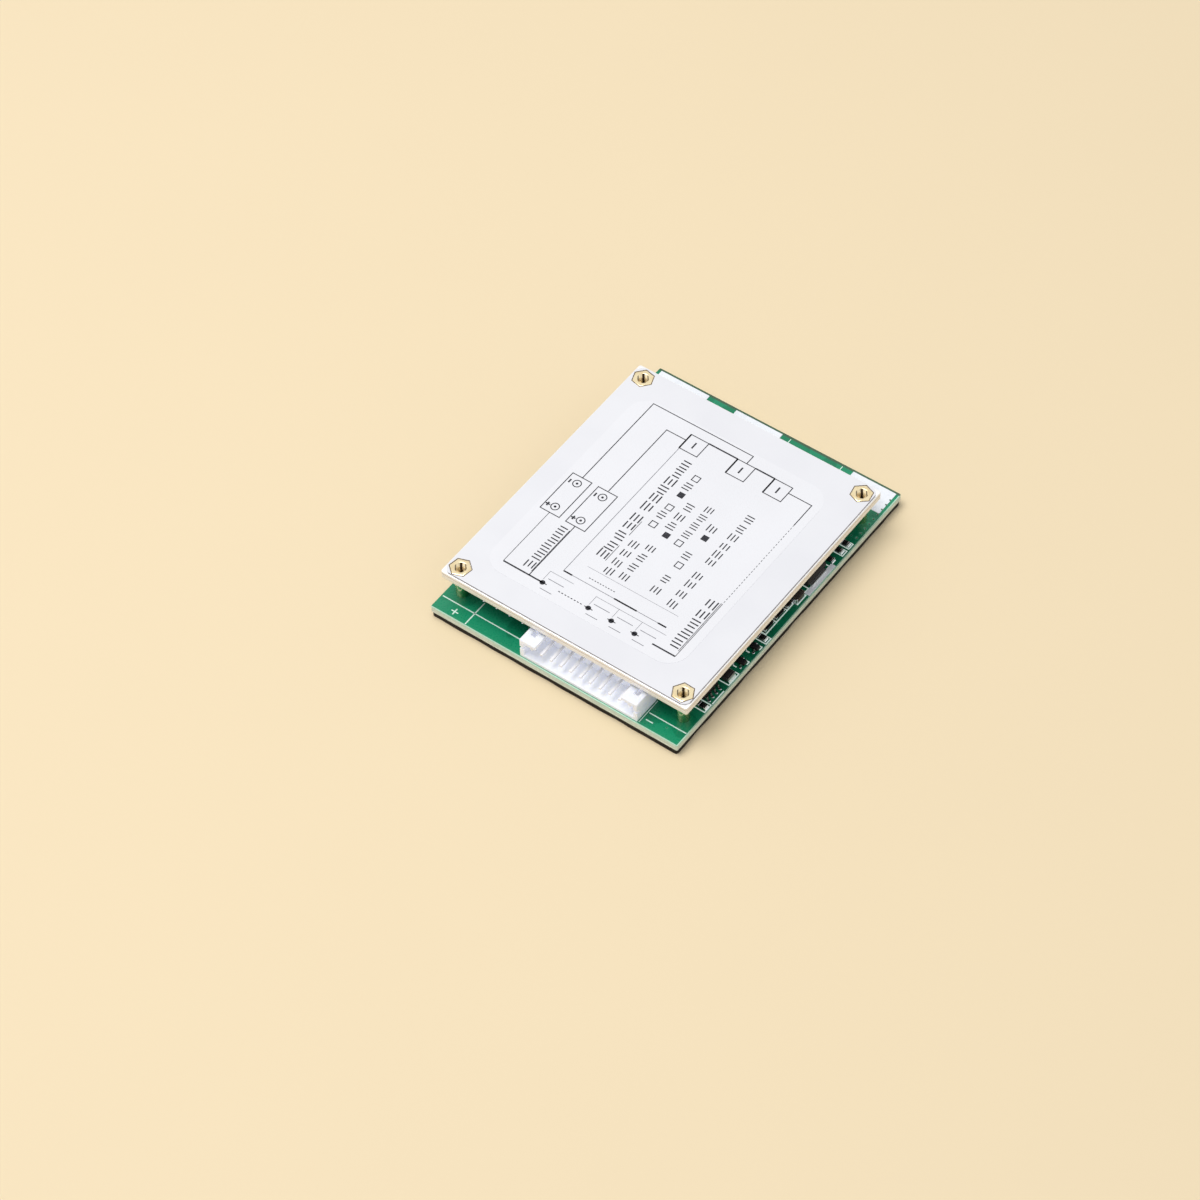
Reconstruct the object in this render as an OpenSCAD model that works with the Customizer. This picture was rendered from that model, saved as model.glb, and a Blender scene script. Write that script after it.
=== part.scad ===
// Battery management board: a circuit board on an insulating pad, with an aluminium
// heat-sink plate held above it by four clinched brass standoffs.
// Millimetres. Origin at the middle of the underside; the balance header is on the -Y edge,
// the wire pads on the +Y edge, +Z is up.

/* [Circuit board] */
// Width of the board's coated face, along the header edge
board_w = 63; // [60:0.5:80]
// Length of the coated face, from the header edge to the wire-pad edge
board_l = 82; // [78:0.5:110]
// Width of the bare rim of laminate round the coated face
rim = 0.25; // [0:0.05:0.5]
// Thickness of the laminate
board_t = 1.6; // [1:0.1:2.4]
// Radius of the board's corners
board_corner_r = 0.3; // [0.3:0.1:2]
// Diameter of the clearance holes for the screws
screw_hole_d = 2.2; // [2.1:0.1:2.6]

/* [Insulating pad] */
// Thickness of the foam pad under the board
pad_t = 1.5; // [1.4:0.1:4]
// How far the pad stays back from the board's edges
pad_inset = 0.1; // [0.1:0.05:1]
// Radius of the pad's corners
pad_corner_r = 0.6; // [0.5:0.1:3]

/* [Heat-sink plate] */
// Thickness of the aluminium plate
plate_t = 2; // [1.5:0.1:3]
// Distance from the header edge of the board to the plate
plate_front_gap = 3.5; // [2:0.5:6]
// Distance from the wire-pad edge of the board to the plate
plate_back_gap = 7.5; // [6:0.5:12]
// Radius of the plate's corners
plate_corner_r = 0.5; // [0.3:0.1:2]
// Free height between the board and the plate
air_gap = 6.2; // [5.8:0.1:10]
// Thickness of the white film on the plate
film_t = 0.2; // [0.1:0.05:0.5]
// How far the film stays back from the plate's edges
film_inset = 0.25; // [0.1:0.05:1]
// Radius of the film's corners
film_corner_r = 2.2; // [1:0.1:3]

/* [Standoffs] */
// Distance from the plate's edges to a standoff's axis
standoff_inset = 3; // [2.8:0.1:5]
// Width across the flats of the hexagonal head
hex_af = 4.2; // [3.8:0.1:5]
// Diameter of the round post
post_d = 2.8; // [2.6:0.1:3.6]
// Diameter of the clinch groove under the head
neck_d = 2.4; // [2.2:0.1:2.5]
// Height of the clinch groove
neck_h = 0.5; // [0.3:0.1:0.8]
// Core diameter of the threads in both ends (M2)
thread_core_d = 1.6; // [1.4:0.1:1.8]
// Depth of the thread in each end
thread_l = 3.4; // [2.5:0.1:3.5]
// Diameter of the countersink at the top of the thread
mouth_d = 2.8; // [2.2:0.1:2.8]

/* [Screws under the board] */
// Diameter of the screw head
screw_head_d = 3.8; // [3:0.1:4.4]
// Height of the screw head
screw_head_h = 1.2; // [0.8:0.1:1.3]
// Length of the screw under its head
screw_l = 4; // [3:0.5:4.5]
// Width of the cross recess in the head
recess_w = 0.5; // [0.3:0.1:0.8]
// Depth of the cross recess in the head
recess_h = 0.7; // [0.4:0.1:0.8]

/* [Balance header] */
// Number of ways
header_ways = 11; // [4:1:13]
// Distance between neighbouring pins
pin_pitch = 2.5; // [2:0.05:2.54]
// Sideways shift of the housing from the middle of the board
header_shift = 6.45; // [4:0.05:7]
// Distance from the board's edge to the housing's mouth
header_setback = 0.1; // [0:0.1:1]
// Depth of the housing, from its mouth to its rear face
header_depth = 7.6; // [7:0.1:9]
// Height of the housing above the board
header_h = 5.4; // [4.8:0.1:5.8]
// Length of the housing beyond the outer pins
header_end = 2.45; // [2:0.05:3]
// Thickness of the side walls
header_wall = 0.9; // [0.6:0.1:1.4]
// Thickness of the floor
header_floor = 0.8; // [0.6:0.1:1.2]
// Thickness of the corner bridges over the outer pins
bridge_t = 0.9; // [0.6:0.1:1.2]
// Length of a corner bridge, from the housing's end
bridge_l = 4; // [3.4:0.1:4.4]
// Depth of the rear block that holds the pins
header_rear = 2; // [1.5:0.1:3]
// Width of the key slot in a corner bridge
key_slot_w = 1.2; // [0.8:0.1:1.4]
// Distance from the housing's end to the middle of the key slot
key_slot_x = 1.75; // [1.6:0.05:2]
// Distance from the mouth to the key slot
key_slot_y = 2.3; // [1.5:0.1:3]
// Width of the latch notch in a side wall
notch_w = 0.7; // [0.4:0.1:1]
// Width and height of a square pin
pin_w = 0.64; // [0.5:0.02:0.7]
// Height of the pins' axis above the board
pin_z = 2.9; // [2.4:0.1:3.2]
// Distance from the mouth back to the pins' tips
pin_recess = 0.7; // [0.4:0.1:2]
// Distance from the rear face to the pins' legs
pin_leg_gap = 1.6; // [1:0.1:2.5]
// Length of the pins' legs below the board
pin_tail = 1.0; // [0.6:0.1:1.2]
// Diameter of the pin holes in the board
pin_hole_d = 1.0; // [0.95:0.05:1.1]

/* [Wire pads] */
// Thickness of the tinned copper
tin_t = 0.15; // [0.05:0.05:0.3]
// Depth of the pads, from front to back
wire_pad_l = 6.4; // [4:0.1:7]
// Distance from the board's edges to the pads
wire_pad_edge = 0.6; // [0.3:0.1:1.5]
// Width of the charging pad at the left corner
charge_pad_w = 12.9; // [8:0.1:14]
// Width of the load pad
load_pad_w = 12.2; // [8:0.1:14]
// Distance between the charging pad and the load pad
load_pad_gap = 7.2; // [2:0.1:8]
// Width of the battery pad at the right corner
battery_pad_w = 11; // [8:0.1:14]
// Length of the tinned bus strip at the right edge
bus_l = 9.9; // [8:0.1:12]
// Width of the tinned bus strip
bus_w = 1.1; // [0.8:0.1:2]
// Diameter of the plated holes along the right edge
via_d = 0.5; // [0.3:0.1:0.8]
// Distance between neighbouring plated holes
via_pitch = 1.6; // [1.2:0.1:2.5]
// Number of plated holes in the row
via_count = 10; // [4:1:12]

/* [Power transistors] */
// Width of a power transistor
fet_w = 10.2; // [9:0.1:11]
// Length of its moulded body
fet_body_l = 9; // [8:0.1:10]
// Height of its moulded body
fet_h = 4.4; // [4:0.1:5]
// Thickness of its metal tab
fet_tab_t = 1.3; // [1:0.1:1.6]
// How far the tab stands out of the body
fet_tab_l = 1.1; // [0.8:0.1:1.5]
// How far the leads reach from the body
fet_lead_l = 4.6; // [3:0.1:5]
// Width of an outer lead
fet_lead_w = 0.8; // [0.6:0.1:1]
// Distance between the transistors of a row
fet_pitch = 15; // [13:0.1:16]
// Sideways shift of the rows from the middle of the board
fet_shift = -3.5; // [-5:0.5:0]
// Distance between the tabs of the two rows
fet_tab_gap = 2; // [1:0.5:4]
// How far the thermal pad reaches past the transistors' bodies
thermal_margin = 1; // [0:0.5:3]

/* [Small parts] */
// Thickness of a gull-wing lead
lead_t = 0.2; // [0.1:0.05:0.3]
// Width of an integrated circuit's lead
ic_lead_w = 0.42; // [0.3:0.02:0.5]
// Distance between an integrated circuit's leads
ic_pitch = 1.27; // [1.2:0.01:1.4]
// Height of a current shunt
shunt_h = 0.7; // [0.5:0.1:1.2]
// Height of a chip resistor
resistor_h = 0.55; // [0.4:0.05:0.8]
// Height of a chip capacitor
capacitor_h = 1.25; // [0.8:0.05:1.6]
// Width of a chip's soldered end
chip_end = 0.45; // [0.3:0.05:0.6]

/* [Hidden] */
$fn = 48;

// Levels, from the surface that the board lies on
board_z = pad_t;
top_z = board_z + board_t;
plate_z = top_z + air_gap;
film_z = plate_z + plate_t;
head_top_z = film_z + film_t;

// Whole laminate: the coated face and its bare rim
laminate_w = board_w + 2 * rim;
laminate_l = board_l + 2 * rim;

// Plate and standoff places
plate_l = board_l - plate_front_gap - plate_back_gap;
plate_y = (plate_front_gap - plate_back_gap) / 2;
post_dx = board_w / 2 - standoff_inset;
post_dy = plate_l / 2 - standoff_inset;
head_h = plate_t + film_t - neck_h;
drill_tip_h = thread_core_d / 2 / tan(59);
foot_mouth_d = 1.8;
hex_cut_clearance = 0.12;
screw_play = 0.01;
head_play = 0.3;
recess_span = 0.6;

// Header places
header_w = (header_ways - 1) * pin_pitch + 2 * header_end;
header_x = header_shift;
header_y = -board_l / 2 + header_setback;
pin_leg_y = header_y + header_depth + pin_leg_gap;
pin_bend_r = 0.4;
pin_tip_chamfer = 0.15;
solder_h = 0.7;
solder_d = 1.7;
pad_slot_w = 3;
rear_groove = 0.6;

// Wire-pad places
wire_pad_y = board_l / 2 - wire_pad_edge - wire_pad_l / 2;
charge_pad_x = -board_w / 2 + wire_pad_edge + charge_pad_w / 2;
load_pad_x = charge_pad_x + charge_pad_w / 2 + load_pad_gap + load_pad_w / 2;
battery_pad_x = board_w / 2 - wire_pad_edge - battery_pad_w / 2;
pad_fillet = 0.3;
bus_edge = 0.1;
bus_x = board_w / 2 - bus_edge - bus_w / 2;
via_edge = 0.75;
via_end = 0.9;
via_x = board_w / 2 - via_edge;
via_last_y = board_l / 2 - via_end;

// Moulded bodies: gap under them, share of their height by which the sides lean, depth of marks
body_lift = 0.1;
body_draft = 0.12;
mark_h = 0.1;

// Gull-wing leads: shares of the reach at which they turn down and land
lead_knee = 0.35;
lead_foot = 0.55;

// Package sizes: [length along the leads' span, width, height] of each moulded body
MONITOR = [7.5, 12.8, 2.3];
monitor_leads = 10;
monitor_reach = 1.4;
monitor_mark_d = 1;
monitor_mark_inset = 1.5;
LOGIC = [3.9, 4.9, 1.5];
logic_leads = 4;
logic_reach = 1.05;
logic_mark_d = 0.6;
logic_mark_inset = 0.9;
SMALL = [1.3, 2.9, 1.0];
small_lead_pitch = 0.95;
small_lead_w = 0.4;
small_lead_t = 0.15;
small_reach = 0.75;
SWITCH = [6.1, 6.6, 2.3];
switch_tab_w = 5.3;
switch_tab_t = 0.5;
switch_tab_l = 0.5;
switch_tab_setback = 1.5;
switch_lead_pitch = 4.6;
switch_lead_h = 1.3;
switch_lead_w = 0.7;
switch_lead_t = 0.4;
switch_reach = 2.6;

// Power transistors: metal inside the body, leads, the cut-off middle lead and the mark
fet_frame_inset = 0.6;
fet_frame_setback = 1.5;
fet_lead_pitch = 2.54;
fet_lead_t = 0.5;
fet_lead_rise = 1.2;
fet_stub_l = 1.4;
fet_stub_rise = 0.7;
fet_draft = 0.4;
fet_mark_d = 1.4;

// Chip sizes: [length, width]
CHIP_1206 = [3.2, 1.6];
CHIP_0805 = [2.0, 1.25];
CHIP_1210 = [3.2, 2.5];
SHUNT = [6.4, 3.2];
shunt_foot = 1.3;
shunt_bend = 0.3;
shunt_rise = 0.2;

// Places on the board: [distance from the left edge, distance from the header edge, turn]
monitor_place = [37, 21, 90];
logic_place_right = 3.9;
logic_place_y = 15;
switch_place_right = 4.4;
signal_place_right = 1.9;
signal_place_y = [25.05, 29.8];
shunt_first = 16;
shunt_pitch = 8;
balance_first = 9.5;
balance_pitch = 3.6;
balance_count = 8;
balance_y = 13.9;
driver_first = 8;
driver_pitch = 3.4;
driver_count = 4;
driver_y = 8.6;
sense_right = 2.7;
smoothing_right = 2.1;
blocking_right = 2.2;
blocking_y = 20.4;

// The power stage fills the length between the monitor and the wire pads: what its parts
// leave free is shared out as the gaps before the shunts, before the leads and before the pads
power_start = monitor_place[1] + MONITOR[0] / 2 + monitor_reach;
power_end = board_l - wire_pad_edge - wire_pad_l;
fet_row_l = fet_tab_l + fet_body_l + fet_lead_l;
power_free = power_end - power_start - SHUNT[0] - 2 * fet_row_l - fet_tab_gap;
SHARES = [0.42, 0.19, 0.39];
shunt_y = power_start + SHARES[0] * power_free + SHUNT[0] / 2;
fet_line = shunt_y + SHUNT[0] / 2 + SHARES[1] * power_free + fet_row_l + fet_tab_gap / 2;
fet_y = fet_line - board_l / 2;
over = 1; // how far a cut runs past the face it opens

// The row of parts along the right edge, from the signal transistors to the rear standoff:
// [length along the edge, share of the row's free length that is left before it]
EDGE_ROW = [
    [CHIP_0805[1], 0.087], [CHIP_1206[0], 0.083], [CHIP_1206[0], 0.060],
    [CHIP_0805[0], 0.048], [CHIP_1210[0], 0.010], [bus_l, 0.014],
    [CHIP_0805[1], 0.012], [CHIP_0805[1], 0.153], [CHIP_0805[1], 0.089]
];
function row_sum(column, count) =
    count == 0 ? 0 : EDGE_ROW[count - 1][column] + row_sum(column, count - 1);
row_start = signal_place_y[1] + SMALL[0] / 2 + small_reach;
row_end = board_l - plate_back_gap - standoff_inset - post_d / 2;
row_free = row_end - row_start - row_sum(0, len(EDGE_ROW));
function row_y(i) =
    row_start + row_sum(0, i) + EDGE_ROW[i][0] / 2 + row_sum(1, i + 1) * row_free;
sense_y = [row_y(1), row_y(2)];
smoothing_y = row_y(4);
bus_mid_y = row_y(5) - board_l / 2;

EDGE_CHIPS = [
    // distance from the right edge, distance from the header edge, turn
    [1.5, 11.2, 0], [1.7, row_y(0), 0], [2.4, row_y(3), 90],
    [2.15, row_y(6), 0], [2, row_y(7), 0], [1.9, row_y(8), 0]
];

ROWS = ["charge", "discharge"];
COLUMNS = ["left", "middle", "right"];
CORNERS = [
    // name, side in X, side in Y, turn of the hexagon
    ["plus", -1, -1, 20],
    ["minus", 1, -1, 58],
    ["charge", -1, 1, 49],
    ["battery", 1, 1, 40]
];

// ---- Shared shapes ----

// A rectangle with true round corners, centred on the origin
module rounded_rect(w, l, r) {
    square([w - 2 * r, l], center = true);
    square([w, l - 2 * r], center = true);
    for (sx = [-1, 1])
        for (sy = [-1, 1])
            translate([sx * (w / 2 - r), sy * (l / 2 - r)])
                circle(r);
}

// A hexagon given by its width across the flats
module hexagon(af) {
    circle(d = af / cos(30), $fn = 6);
}

// Copies its children to the four standoff axes
module at_posts() {
    for (c = CORNERS)
        translate([c[1] * post_dx, plate_y + c[2] * post_dy, 0])
            rotate([0, 0, c[3]])
                children();
}

// Puts its children on the board, measured from the left edge and the header edge
module on_board(x, y, turn = 0) {
    translate([x - board_w / 2, y - board_l / 2, top_z])
        rotate([0, 0, turn])
            children();
}

// Puts its children on the board, measured from the right edge and the header edge
module by_right_edge(x, y, turn = 0) {
    on_board(board_w - x, y, turn)
        children();
}

// A moulded body with drafted sides: size = [x, y, z]
module moulded_body(size, lift = body_lift) {
    draft = body_draft * size[2];
    waist = lift + (size[2] - lift) / 2;
    rotate([90, 0, 0])
        linear_extrude(height = size[1], center = true)
            polygon([
                [-size[0] / 2 + draft, lift], [size[0] / 2 - draft, lift],
                [size[0] / 2, waist], [size[0] / 2 - draft, size[2]],
                [-size[0] / 2 + draft, size[2]], [-size[0] / 2, waist]
            ]);
}

// One gull-wing lead: leaves the body at x = 0 at the given height and lands on the board
module gull_lead(reach, height, width, t = lead_t) {
    knee = reach * lead_knee;
    foot = reach * lead_foot;
    rotate([90, 0, 0])
        linear_extrude(height = width, center = true)
            polygon([
                [0, height], [knee, height], [foot, t], [reach, t], [reach, 0],
                [foot - t, 0], [knee - t, height - t], [0, height - t]
            ]);
}

// Leads on both long sides of a moulded body
module lead_rows(size, count, pitch, width, reach) {
    height = body_lift + (size[2] - body_lift) / 2 + lead_t / 2;
    for (side = [0, 180])
        rotate([0, 0, side])
            for (i = [0:count - 1])
                translate([size[0] / 2, (i - (count - 1) / 2) * pitch, 0])
                    gull_lead(reach, height, width);
}

// The ceramic middle of a chip part, lying along X
module chip_middle(size, h) {
    translate([0, 0, h / 2])
        cube([size[0] - 2 * chip_end, size[1], h], center = true);
}

// The two soldered ends of a chip part
module chip_ends(size, h) {
    for (side = [-1, 1])
        translate([side * (size[0] - chip_end) / 2, 0, h / 2])
            cube([chip_end, size[1], h], center = true);
}

// ---- Pad and board ----

module insulating_pad() {
    color([0.09, 0.08, 0.08])
        difference() {
            linear_extrude(height = pad_t)
                rounded_rect(laminate_w - 2 * pad_inset, laminate_l - 2 * pad_inset, pad_corner_r);
            translate([0, 0, -over]) {
                at_posts()
                    cylinder(d = screw_head_d + 2 * head_play, h = pad_t + 2 * over);
                translate([header_x, pin_leg_y, 0])
                    linear_extrude(height = pad_t + 2 * over)
                        rounded_rect(header_w, pad_slot_w, pad_slot_w / 2 - head_play);
            }
        }
}

module circuit_board() {
    color([0.05, 0.42, 0.28])
        translate([0, 0, board_z])
            difference() {
                linear_extrude(height = board_t)
                    rounded_rect(laminate_w, laminate_l, board_corner_r);
                translate([0, 0, -over]) {
                    at_posts()
                        cylinder(d = screw_hole_d, h = board_t + 2 * over);
                    for (i = [0:header_ways - 1])
                        translate([pin_x(i), pin_leg_y, 0])
                            cylinder(d = pin_hole_d, h = board_t + 2 * over);
                    at_vias()
                        cylinder(d = via_d, h = board_t + 2 * over);
                }
            }
}

// Copies its children to the plated holes along the right edge
module at_vias() {
    for (i = [0:via_count - 1])
        translate([via_x, via_last_y - i * via_pitch, 0])
            children();
}

module tinned_pad(x, w) {
    color([0.86, 0.87, 0.88])
        translate([x, wire_pad_y, top_z])
            linear_extrude(height = tin_t)
                rounded_rect(w, wire_pad_l, pad_fillet);
}

module charge_pad() { tinned_pad(charge_pad_x, charge_pad_w); }
module load_pad() { tinned_pad(load_pad_x, load_pad_w); }

module battery_pad() {
    difference() {
        tinned_pad(battery_pad_x, battery_pad_w);
        translate([0, 0, top_z - over])
            at_vias()
                cylinder(d = via_d, h = tin_t + 2 * over);
    }
}

module bus_strip() {
    color([0.72, 0.77, 0.80])
        translate([bus_x, bus_mid_y, top_z])
            linear_extrude(height = tin_t)
                rounded_rect(bus_w, bus_l, pad_fillet);
}

// ---- Balance header ----

function pin_x(i) = header_x + (i - (header_ways - 1) / 2) * pin_pitch;

// The housing in its own frame: mouth at y = 0, board at z = 0, left end at x = -header_w / 2
module header_housing() {
    inner_w = header_w - 2 * header_wall;
    inner_l = header_depth - header_rear;
    bridge_z = header_h - bridge_t;
    color([0.90, 0.92, 0.97])
        translate([header_x, header_y, top_z])
            difference() {
                translate([-header_w / 2, 0, 0])
                    cube([header_w, header_depth, header_h]);
                // the socket
                translate([-inner_w / 2, -over, header_floor])
                    cube([inner_w, inner_l + over, header_h - header_floor - bridge_t]);
                // the open top between the corner bridges
                translate([-header_w / 2 + bridge_l, -over, bridge_z - over])
                    cube([header_w - 2 * bridge_l, inner_l + over, bridge_t + 2 * over]);
                // key slots in the bridges and latch notches in the side walls
                for (side = [-1, 1]) {
                    translate([side * (header_w / 2 - key_slot_x) - key_slot_w / 2,
                               key_slot_y, bridge_z - over])
                        cube([key_slot_w, inner_l - key_slot_y, bridge_t + 2 * over]);
                    translate([side * header_w / 2 - header_wall, -over, pin_z - notch_w / 2])
                        cube([2 * header_wall, over + notch_w, notch_w]);
                }
                // relief groove along the rear foot, and the seats of the pins
                translate([-header_w / 2 - over, header_depth - rear_groove, -over])
                    cube([header_w + 2 * over, rear_groove + over, rear_groove + over]);
                for (i = [0:header_ways - 1])
                    translate([pin_x(i) - header_x - pin_w / 2, inner_l - over,
                               pin_z - pin_w / 2])
                        cube([pin_w, header_rear + 2 * over, pin_w]);
            }
}

// One bent square pin, drawn as its side view: Y to the right, Z up
module pin_outline() {
    tip = header_y + pin_recess;
    half = pin_w / 2;
    bend_y = pin_leg_y - half - pin_bend_r;
    bend_z = pin_z - half - pin_bend_r;
    polygon([
        [tip, pin_z - half + pin_tip_chamfer], [tip + pin_tip_chamfer, pin_z - half],
        [bend_y, pin_z - half], [bend_y, pin_z + half],
        [tip + pin_tip_chamfer, pin_z + half], [tip, pin_z + half - pin_tip_chamfer]
    ]);
    translate([bend_y, bend_z])
        intersection() {
            difference() {
                circle(pin_bend_r + pin_w);
                circle(pin_bend_r);
            }
            square(pin_bend_r + pin_w);
        }
    translate([pin_leg_y - half, -board_t - pin_tail])
        square([pin_w, bend_z + board_t + pin_tail]);
}

module header_pins() {
    color([0.85, 0.84, 0.80])
        for (i = [0:header_ways - 1])
            translate([pin_x(i) - pin_w / 2, 0, top_z])
                rotate([90, 0, 90])
                    linear_extrude(height = pin_w)
                        pin_outline();
}

module header_solder() {
    color([0.75, 0.76, 0.78])
        for (i = [0:header_ways - 1])
            translate([pin_x(i), pin_leg_y, board_z])
                difference() {
                    rotate([180, 0, 0])
                        cylinder(d1 = solder_d, d2 = pin_hole_d, h = solder_h);
                    translate([-pin_w / 2, -pin_w / 2, -solder_h - over])
                        cube([pin_w, pin_w, solder_h + 2 * over]);
                }
}

// ---- Plate, film, standoffs and screws ----

module heatsink_plate() {
    color([0.86, 0.85, 0.82])
        difference() {
            translate([0, plate_y, plate_z])
                linear_extrude(height = plate_t)
                    rounded_rect(board_w, plate_l, plate_corner_r);
            at_posts() {
                translate([0, 0, plate_z - over])
                    cylinder(d = neck_d, h = plate_t + 2 * over);
                translate([0, 0, plate_z + neck_h])
                    linear_extrude(height = plate_t)
                        hexagon(hex_af);
            }
        }
}

module plate_film() {
    color([0.96, 0.96, 0.97])
        difference() {
            translate([0, plate_y, film_z])
                linear_extrude(height = film_t)
                    rounded_rect(board_w - 2 * film_inset, plate_l - 2 * film_inset, film_corner_r);
            at_posts()
                translate([0, 0, film_z - over])
                    linear_extrude(height = film_t + 2 * over)
                        hexagon(hex_af + 2 * hex_cut_clearance);
        }
}

// A blind tapped hole: it opens at z = 0 with a 45 degree countersink and runs down to a drill tip
module tapped_hole(mouth_r) {
    core_r = thread_core_d / 2;
    rotate_extrude()
        polygon([
            [0, over], [mouth_r + over, over], [core_r, core_r - mouth_r],
            [core_r, -thread_l], [0, -thread_l - drill_tip_h]
        ]);
}

// A standoff: round post, clinch groove that the plate's metal fills, and a hexagonal head
module standoff(corner) {
    c = CORNERS[corner];
    color([0.80, 0.62, 0.30])
        translate([c[1] * post_dx, plate_y + c[2] * post_dy, 0])
            rotate([0, 0, c[3]])
                difference() {
                    union() {
                        translate([0, 0, top_z])
                            rotate_extrude()
                                polygon([
                                    [0, 0], [post_d / 2, 0], [post_d / 2, air_gap],
                                    [neck_d / 2, air_gap], [neck_d / 2, air_gap + neck_h],
                                    [0, air_gap + neck_h]
                                ]);
                        translate([0, 0, plate_z + neck_h])
                            linear_extrude(height = head_h)
                                hexagon(hex_af);
                    }
                    translate([0, 0, top_z])
                        rotate([180, 0, 0])
                            tapped_hole(foot_mouth_d / 2);
                    translate([0, 0, head_top_z])
                        tapped_hole(mouth_d / 2);
                }
}

module board_screws() {
    color([0.78, 0.79, 0.80])
        at_posts() {
            translate([0, 0, board_z])
                cylinder(d = thread_core_d - 2 * screw_play, h = screw_l);
            difference() {
                translate([0, 0, board_z - screw_head_h])
                    cylinder(d = screw_head_d, h = screw_head_h);
                for (turn = [0, 90])
                    rotate([0, 0, turn])
                        translate([0, 0, board_z - screw_head_h])
                            cube([screw_head_d * recess_span, recess_w, 2 * recess_h],
                                 center = true);
            }
        }
}

// ---- Power stage ----

// Places a power transistor with its leads to -Y; the charge row is turned round
module at_fet(row, column) {
    reach = fet_tab_gap / 2 + fet_tab_l + fet_body_l / 2;
    side = row == 0 ? 1 : -1;
    translate([fet_shift + (column - 1) * fet_pitch, fet_y + side * reach, top_z])
        rotate([0, 0, row == 0 ? 180 : 0])
            children();
}

module power_body(row, column) {
    color([0.11, 0.11, 0.12])
        at_fet(row, column)
            difference() {
                translate([0, 0, fet_tab_t])
                    rotate([90, 0, 90])
                        linear_extrude(height = fet_w, center = true)
                            polygon([
                                [-fet_body_l / 2, body_lift - fet_tab_t], [fet_body_l / 2, 0],
                                [fet_body_l / 2 - fet_draft, fet_h - fet_tab_t],
                                [-fet_body_l / 2 + fet_draft, fet_h - fet_tab_t]
                            ]);
                power_frame_shape();
                translate([-fet_w / 4, fet_body_l / 4, fet_h - mark_h])
                    cylinder(d = fet_mark_d, h = over);
            }
}

// Metal frame of a power transistor: die pad with its tab, and three leads
module power_frame_shape() {
    pad_w = fet_w - 2 * fet_frame_inset;
    translate([-pad_w / 2, -fet_body_l / 2 + fet_frame_setback, 0])
        cube([pad_w, fet_body_l - fet_frame_setback, fet_tab_t]);
    translate([-fet_w / 2, fet_body_l / 2, 0])
        cube([fet_w, fet_tab_l, fet_tab_t]);
    for (i = [-1, 1])
        translate([i * fet_lead_pitch, -fet_body_l / 2, 0])
            rotate([0, 0, -90])
                gull_lead(fet_lead_l, fet_tab_t + fet_lead_rise, fet_lead_w, fet_lead_t);
    translate([-fet_lead_w / 2, -fet_body_l / 2 - fet_stub_l, fet_tab_t + fet_stub_rise])
        cube([fet_lead_w, fet_stub_l, fet_lead_t]);
}

module power_frame(row, column) {
    color([0.78, 0.78, 0.76])
        at_fet(row, column)
            power_frame_shape();
}

module thermal_pad() {
    bodies_l = fet_tab_gap + 2 * fet_tab_l + 2 * fet_body_l;
    color([0.62, 0.66, 0.70])
        translate([fet_shift, fet_y, top_z + fet_h])
            linear_extrude(height = air_gap - fet_h)
                square([2 * fet_pitch + fet_w + 2 * thermal_margin,
                        bodies_l + 2 * thermal_margin], center = true);
}

module shunt(column) {
    arch = SHUNT[0] / 2 - shunt_foot - shunt_bend;
    color([0.45, 0.44, 0.42])
        on_board(shunt_first + column * shunt_pitch, shunt_y, 90)
            rotate([90, 0, 0])
                linear_extrude(height = SHUNT[1], center = true)
                    polygon([
                        [-SHUNT[0] / 2, 0], [-SHUNT[0] / 2, shunt_h],
                        [SHUNT[0] / 2, shunt_h], [SHUNT[0] / 2, 0],
                        [SHUNT[0] / 2 - shunt_foot, 0], [arch, shunt_rise],
                        [-arch, shunt_rise], [-SHUNT[0] / 2 + shunt_foot, 0]
                    ]);
}

// ---- Integrated circuits and small transistors ----

module at_monitor() {
    on_board(monitor_place[0], monitor_place[1], monitor_place[2])
        children();
}

module monitor_ic() {
    color([0.10, 0.10, 0.11])
        at_monitor()
            difference() {
                moulded_body(MONITOR);
                translate([MONITOR[0] / 2 - monitor_mark_inset,
                           -MONITOR[1] / 2 + monitor_mark_inset, MONITOR[2] - mark_h])
                    cylinder(d = monitor_mark_d, h = over);
            }
}

module monitor_ic_leads() {
    color([0.80, 0.80, 0.80])
        at_monitor()
            lead_rows(MONITOR, monitor_leads, ic_pitch, ic_lead_w, monitor_reach);
}

module logic_ic() {
    color([0.10, 0.10, 0.11])
        by_right_edge(logic_place_right, logic_place_y)
            difference() {
                moulded_body(LOGIC);
                translate([-LOGIC[0] / 2 + logic_mark_inset,
                           -LOGIC[1] / 2 + logic_mark_inset, LOGIC[2] - mark_h])
                    cylinder(d = logic_mark_d, h = over);
            }
}

module logic_ic_leads() {
    color([0.80, 0.80, 0.80])
        by_right_edge(logic_place_right, logic_place_y)
            lead_rows(LOGIC, logic_leads, ic_pitch, ic_lead_w, logic_reach);
}

// Body of a three-lead transistor, its long side along Y
module small_body() {
    moulded_body(SMALL);
}

// Two leads on one side and one on the other
module small_leads() {
    height = body_lift + (SMALL[2] - body_lift) / 2 + lead_t / 2;
    for (y = [-small_lead_pitch, small_lead_pitch])
        translate([SMALL[0] / 2, y, 0])
            gull_lead(small_reach, height, small_lead_w, small_lead_t);
    rotate([0, 0, 180])
        translate([SMALL[0] / 2, 0, 0])
            gull_lead(small_reach, height, small_lead_w, small_lead_t);
}

module signal_transistor(i) {
    color([0.12, 0.11, 0.11])
        by_right_edge(signal_place_right, signal_place_y[i], -90)
            small_body();
}

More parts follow.
